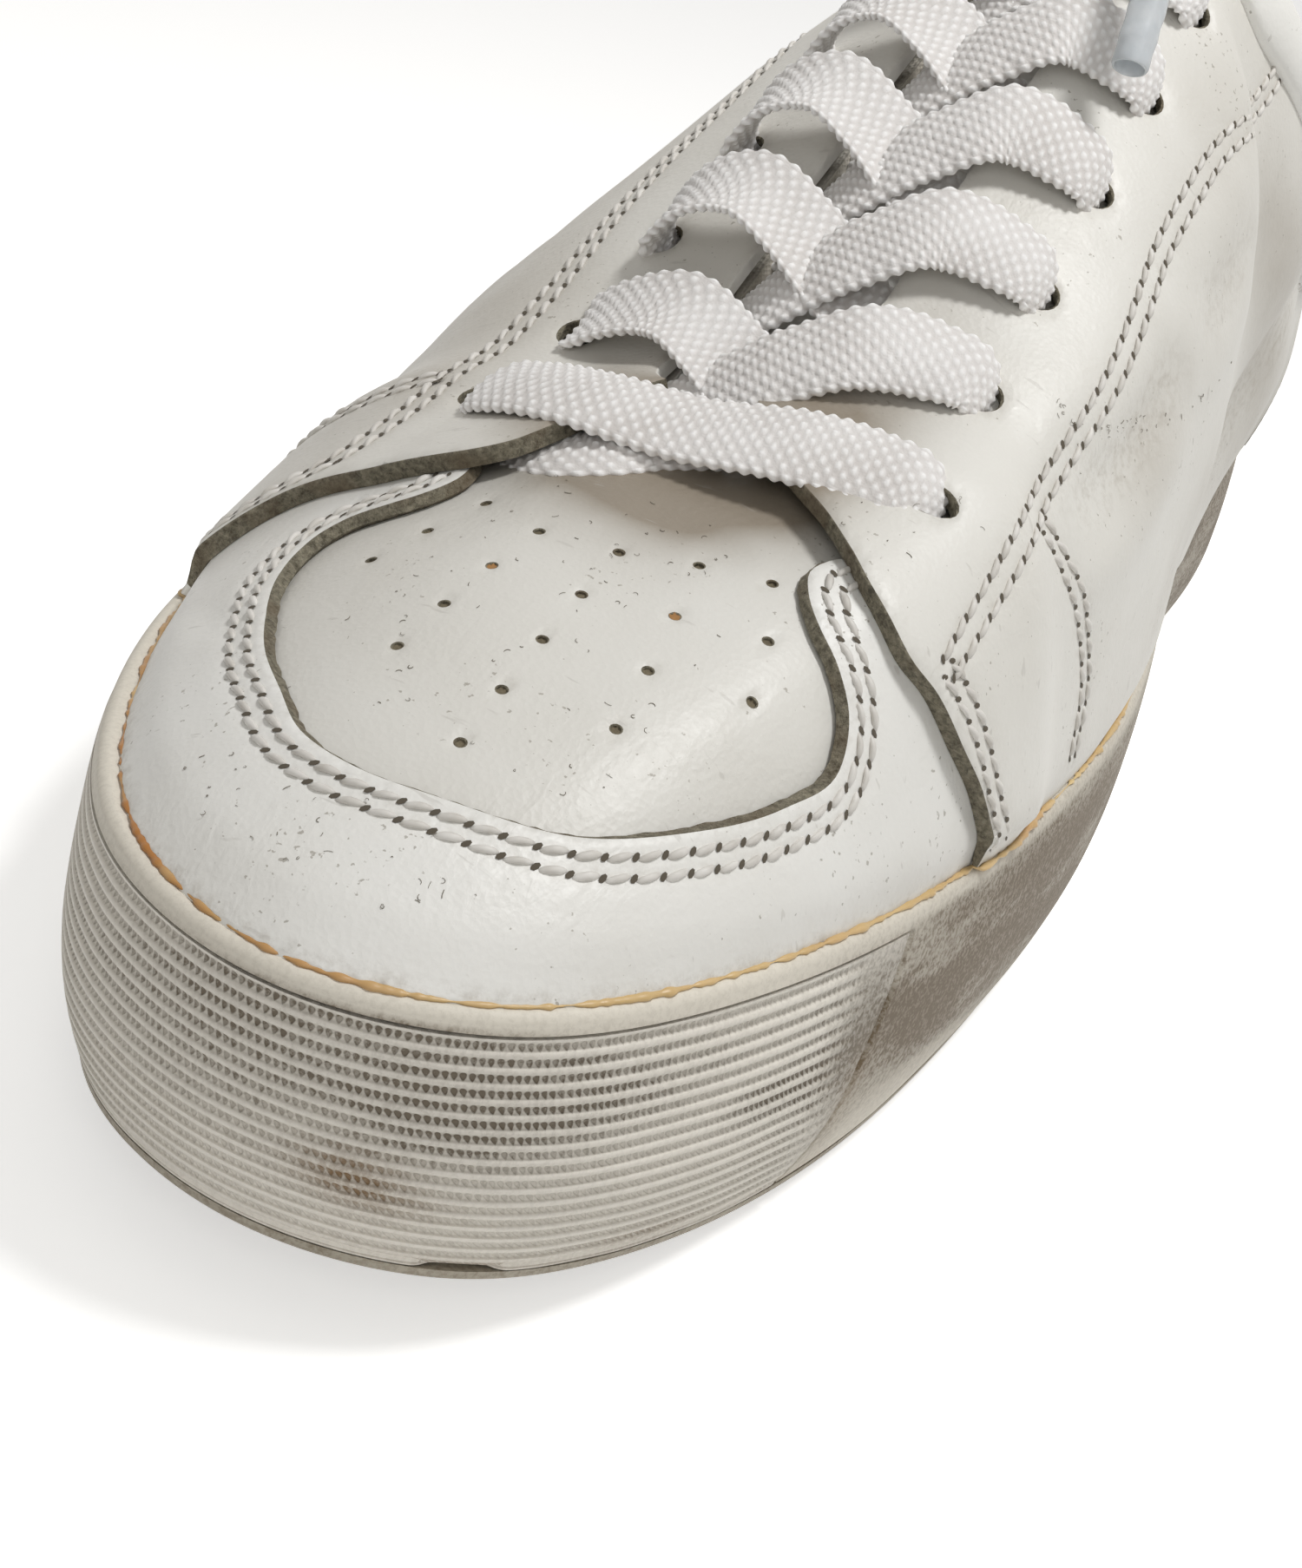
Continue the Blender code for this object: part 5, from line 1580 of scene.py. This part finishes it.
def make_bumper():
    parts = np.linspace(0, 1, BUMPER_COLUMNS)
    rises = np.linspace(0.0, BUMPER_TOP - 0.005, RIBS * ROWS_OF_RIB + 1)
    rings, marks = [], {mark: [] for mark in RUBBER_MARKS}
    for rise in rises:
        turns = bumper_turns(rise, parts)
        rib = rise / rises[-1] * RIBS
        plain = inset(turns, wall_inset(rise))
        fade = (eased((BUMPER_END - 0.001 - turns) / 0.012)
                * eased((turns - BUMPER_START) / 0.012))
        hollow = RIB_DEPTH * fade * eased((0.45 - np.cos(2 * np.pi * rib)) / 1.1)
        worn = 0.12 * lumps(np.column_stack([plain, 25 * rise + 0 * turns]), 9)
        torn = 0.9 * np.exp(-((turns - TORN_TURN) / 0.008) ** 4) * (1 - eased(rise / 0.022))
        rings.append(wall_points(turns, wall_inset(rise) + hollow + worn + torn, rise))
        rings[-1][:, 2] += 0.45 * torn
        marks["soil"].append(stained(SOIL_AND_SHADE, turns, rise))
        marks["brown"].append(np.clip(stained(BROWN, turns, rise) + torn, 0, 1))
        marks["ribbed"].append(fade)
        marks["rib"].append(np.full(len(turns), rib))
        marks["along"].append(lengths_along(plain))
    backs = []
    for rise in rises[::-12]:
        backs.append(wall_points(bumper_turns(rise, parts), max(1.4, wall_inset(rise) + 0.9),
                                 rise))
    rest = np.zeros(len(backs) * len(parts))
    marks = {mark: np.concatenate([np.concatenate(values), rest])
             for mark, values in marks.items()}
    rows, columns = len(rings) + len(backs), len(parts)
    faces = grid_faces(rows, columns, True, False)
    faces += [tuple(r * columns for r in range(rows)),
              tuple(r * columns + columns - 1 for r in range(rows))[::-1]]
    made = add_piece("ribbed_bumper", np.concatenate(rings + backs), faces, [BUMPER_RUBBER],
                     sharp=60, marks=marks)
    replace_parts(made, "toe_bumper")


BUMPER_RUBBER = rubber_finish("moulded_bumper_rubber", "#E9E4DA", "#6B6152")
make_bumper()


# ---------------------------------------------------------------- cement
# Yellowed rubber cement squeezed out along the joint of the upper and the ledge.

QUARTER_FRONTS = (0.147, 0.883)   # turns where the quarters' front edges meet the rubber
CEMENT_COLUMNS = 1800
CEMENT_SPOKES = 8


def cement_finish():
    """Aged natural-rubber cement: glossy, from pale tan to orange-brown."""
    made, tree, shader = new_material("aged_rubber_cement", Roughness=0.4, IOR=1.52)
    place = add_node(tree, "TexCoord").outputs["Object"]
    hue = add_node(tree, "TexNoise", Vector=place, Scale=110.0, Detail=4.0)
    shade = add_node(tree, "MapRange", hue, 0.38, 0.62)
    orange = add_node(tree, "Attribute", attribute_name="orange")
    deep = add_node(tree, "Mix", data_type="RGBA", Factor=orange.outputs["Fac"], A="#D9BF8B",
                    B="#A86E2A")
    colour = add_node(tree, "Mix", data_type="RGBA", Factor=shade, A=deep, B="#C9AB76")
    wire(shader, Base_Color=colour)
    return made


def make_cement():
    turns = np.arange(CEMENT_COLUMNS) / CEMENT_COLUMNS
    point, _, _, normal = form_frame(at_climb(turns, 0.004))
    outward = unit(normal * (1, 1, 0))
    rough = lumps(point, 2.2) + 0.7 * lumps(point, 0.8)
    blobs = lumps(point, 12, (7, 3, 1))
    away = from_toe(turns)
    shown = 1 - eased((np.abs(away - 0.035) - 0.172) / 0.012)
    radius = np.clip(0.27 + 0.30 * rough + 0.24 * blobs, 0.05, 0.70)
    radius = 0.06 + (radius - 0.06) * shown
    overlaid = (turns < QUARTER_FRONTS[0]) | (turns > QUARTER_FRONTS[1])
    over = np.where(overlaid, overlay_top(point), quarter_top(point))
    centre = point + normal * over[:, None] + outward * 0.12
    centre[:, 2] = rubber_height(centre[:, 1]) + 0.12
    angle = np.linspace(0, 2 * np.pi, CEMENT_SPOKES + 1)[:-1]
    rings = (centre[:, None] + radius[:, None, None]
             * (1.25 * np.cos(angle)[None, :, None] * outward[:, None]
                + 0.75 * np.sin(angle)[None, :, None] * UP))
    orange = np.clip(np.exp(-((away + 0.05) / 0.06) ** 2) + 0.25 + 0.5 * blobs, 0, 1)
    add_piece("cement", rings.reshape(-1, 3),
              grid_faces(CEMENT_COLUMNS, CEMENT_SPOKES, True, True), [cement_finish()],
              marks={"orange": np.repeat(orange, CEMENT_SPOKES)})


make_cement()


# ---------------------------------------------------------------- outsole
# Flat moulded rubber cup bottom with cross grooves under the forefoot and the heel and fine
# lines between them, scuffed grey-brown on the ground.

LIP_THICKNESS = 1.2      # of its rim, under the wall
RIM_POINTS = 560
TREAD_SPACING = 1.15     # of the mesh, fine enough for the lines
PLAIN_RIM = 9.0          # width without a pattern
GROOVES = np.concatenate([np.arange(24, 146, 12.0), np.arange(206, 268, 12.0)])
GROOVE_DEPTH = 1.6
LINE_DEPTH = 0.35
LINE_PITCH = 3


def tread_relief(points):
    """How far the tread's face is hollowed at points in plan."""
    along = points[:, 1] - TOE_Y
    patterned = inside(points, inset(np.arange(300) / 300, PLAIN_RIM))
    groove = np.zeros(len(points))
    for s in GROOVES:
        groove = np.maximum(groove, GROOVE_DEPTH * (1 - eased((abs(along - s) - 1.2) / 0.8)))
    zigzag = along + 3 * np.abs((points[:, 0] / 6) % 2 - 1)
    fine = LINE_DEPTH * eased(np.cos(2 * np.pi * zigzag / LINE_PITCH) * 1.5)
    return np.where(patterned, np.maximum(groove, fine), 0.0)


def make_outsole():
    count, half = RIM_POINTS, RIM_POINTS // 2
    turns = np.arange(count) / count
    rim = inset(turns, 3.3)
    grid = staggered(rim.min(0), rim.max(0), TREAD_SPACING)
    grid = grid[inside(grid, inset(turns, 4.0))]
    edges = [(i, (i + 1) % count) for i in range(count)]
    made = delaunay_2d_cdt([Vector(p) for p in np.concatenate([rim, grid])], edges, [], 1, 1e-4)
    flat = np.array([tuple(p) for p in made[0]])
    faces = [tuple(face)[::-1] for face in made[2]]
    # from the tread's rim up round the lip, in under the wall and up to the bed
    core = SLOPES(turns)[:, 4] + 2.8
    points = [np.column_stack([flat, ground_height(flat[:, 1]) + tread_relief(flat)]),
              level_ring(turns, 2.9, lambda y: ground_height(y) + 0.4),
              level_ring(turns, 2.75, lambda y: ground_height(y) + LIP_THICKNESS),
              level_ring(turns, core, lambda y: ground_height(y) + LIP_THICKNESS),
              level_ring(turns, core, bed_height)]
    last = np.arange(count)
    for number in range(4):
        here = np.arange(count) + len(flat) + number * count
        faces += [(last[i], last[(i + 1) % count], here[(i + 1) % count], here[i])
                  for i in range(count)]
        last = here
    # the bed: strips across it from the toe to the heel
    faces.append((last[0], last[1], last[-1]))
    faces += [(last[i - 1], last[i], last[-i], last[1 - i]) for i in range(2, half)]
    faces.append((last[half - 1], last[half], last[half + 1]))
    total = np.concatenate(points)
    none = np.zeros(len(total))
    made = add_piece("tread", total, faces, [SOLE_RUBBER], sharp=50,
                     marks={"soil": none + 0.8, "brown": none + 0.24, "ribbed": none,
                            "rib": none, "along": none})
    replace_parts(made, "outsole")


SOLE_RUBBER = rubber_finish("moulded_sole_rubber", "#CFC9BA", "#8A8171")
make_outsole()


# ---------------------------------------------------------------- insole
# Foam slab with a brushed cloth top, flattened and darkened where the foot stands.

def insole_finish():
    """Brushed cloth glued on foam: dull, greyed by the foot, with threads 0.7 mm apart."""
    made, tree, shader = new_material("brushed_insole_cloth", Roughness=0.95, Sheen_Weight=0.2)
    place = add_node(tree, "TexCoord").outputs["Object"]
    tread = add_node(tree, "TexNoise", Vector=place, Scale=22.0, Detail=3.0)
    colour = add_node(tree, "Mix", data_type="RGBA", Factor=tread, A="#C9C3B5", B="#8E8575")
    weave = add_node(tree, "TexVoronoi", Vector=place, Scale=1400.0, Randomness=0.4)
    bump = add_node(tree, "Bump", Height=weave, Strength=0.5, Distance=0.0003)
    wire(shader, Base_Color=colour, Normal=bump)
    return made


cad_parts["insole"].data.materials.clear()
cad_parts["insole"].data.materials.append(insole_finish())


# ---------------------------------------------------------------- floor and light
# A pale floor and a few soft lamps, at a level where a colour renders as it is written.

FLOOR_GLOW = 0.50        # lifts the paper to white where no shadow falls
FLOOR_EDGE = 3.0         # half its width, in metres
SKY_LIGHT = 0.28


def area_lamp(name, place, size, power, aim):
    lamp = bpy.data.lights.new(name, "AREA")
    lamp.shape = "DISK"
    lamp.size = size * MM
    lamp.energy = power
    made = bpy.data.objects.new(name, lamp)
    place, aim = Vector(place) * MM, Vector(aim) * MM
    made.matrix_world = (Matrix.Translation(place)
                         @ (aim - place).to_track_quat("-Z", "Y").to_matrix().to_4x4())
    bpy.context.scene.collection.objects.link(made)


def seen_directly(tree):
    """1 for what the camera, a reflection or a clear piece shows, 0 for light on the shoe."""
    path = add_node(tree, "LightPath")
    mirrored = add_node(tree, "Math", path.outputs["Is Camera Ray"], path.outputs["Is Glossy Ray"],
                        operation="ADD")
    return add_node(tree, "Math", mirrored, path.outputs["Is Transmission Ray"], operation="ADD",
                    use_clamp=True)


def make_floor():
    made, tree, shader = new_material("white_paper", Base_Color="#F4F4F3", Roughness=0.9,
                                      Emission_Color="#FFFFFF")
    glow = add_node(tree, "Math", seen_directly(tree), FLOOR_GLOW, operation="MULTIPLY")
    wire(shader, Emission_Strength=glow)
    mesh = bpy.data.meshes.new("floor")
    mesh.from_pydata([(x * FLOOR_EDGE, y * FLOOR_EDGE, 0)
                      for x, y in ((-1, -1), (1, -1), (1, 1), (-1, 1))], [], [(0, 1, 2, 3)])
    mesh.materials.append(made)
    floor = bpy.data.objects.new("floor", mesh)
    bpy.context.scene.collection.objects.link(floor)


def make_world():
    world = bpy.data.worlds.new("studio")
    bpy.context.scene.world = world
    world.use_nodes = True
    tree = world.node_tree
    strength = add_node(tree, "Math", seen_directly(tree), 1.0 - SKY_LIGHT, SKY_LIGHT,
                        operation="MULTIPLY_ADD")
    wire(tree.nodes["Background"], Color="#FFFCF7", Strength=strength)


make_floor()
make_world()
area_lamp("overhead", (200, 20, 640), 140, 2.3, (0, -60, 40))
area_lamp("front", (260, -620, 420), 500, 0.8, (0, -60, 40))
bpy.context.scene.view_settings.view_transform = "Standard"
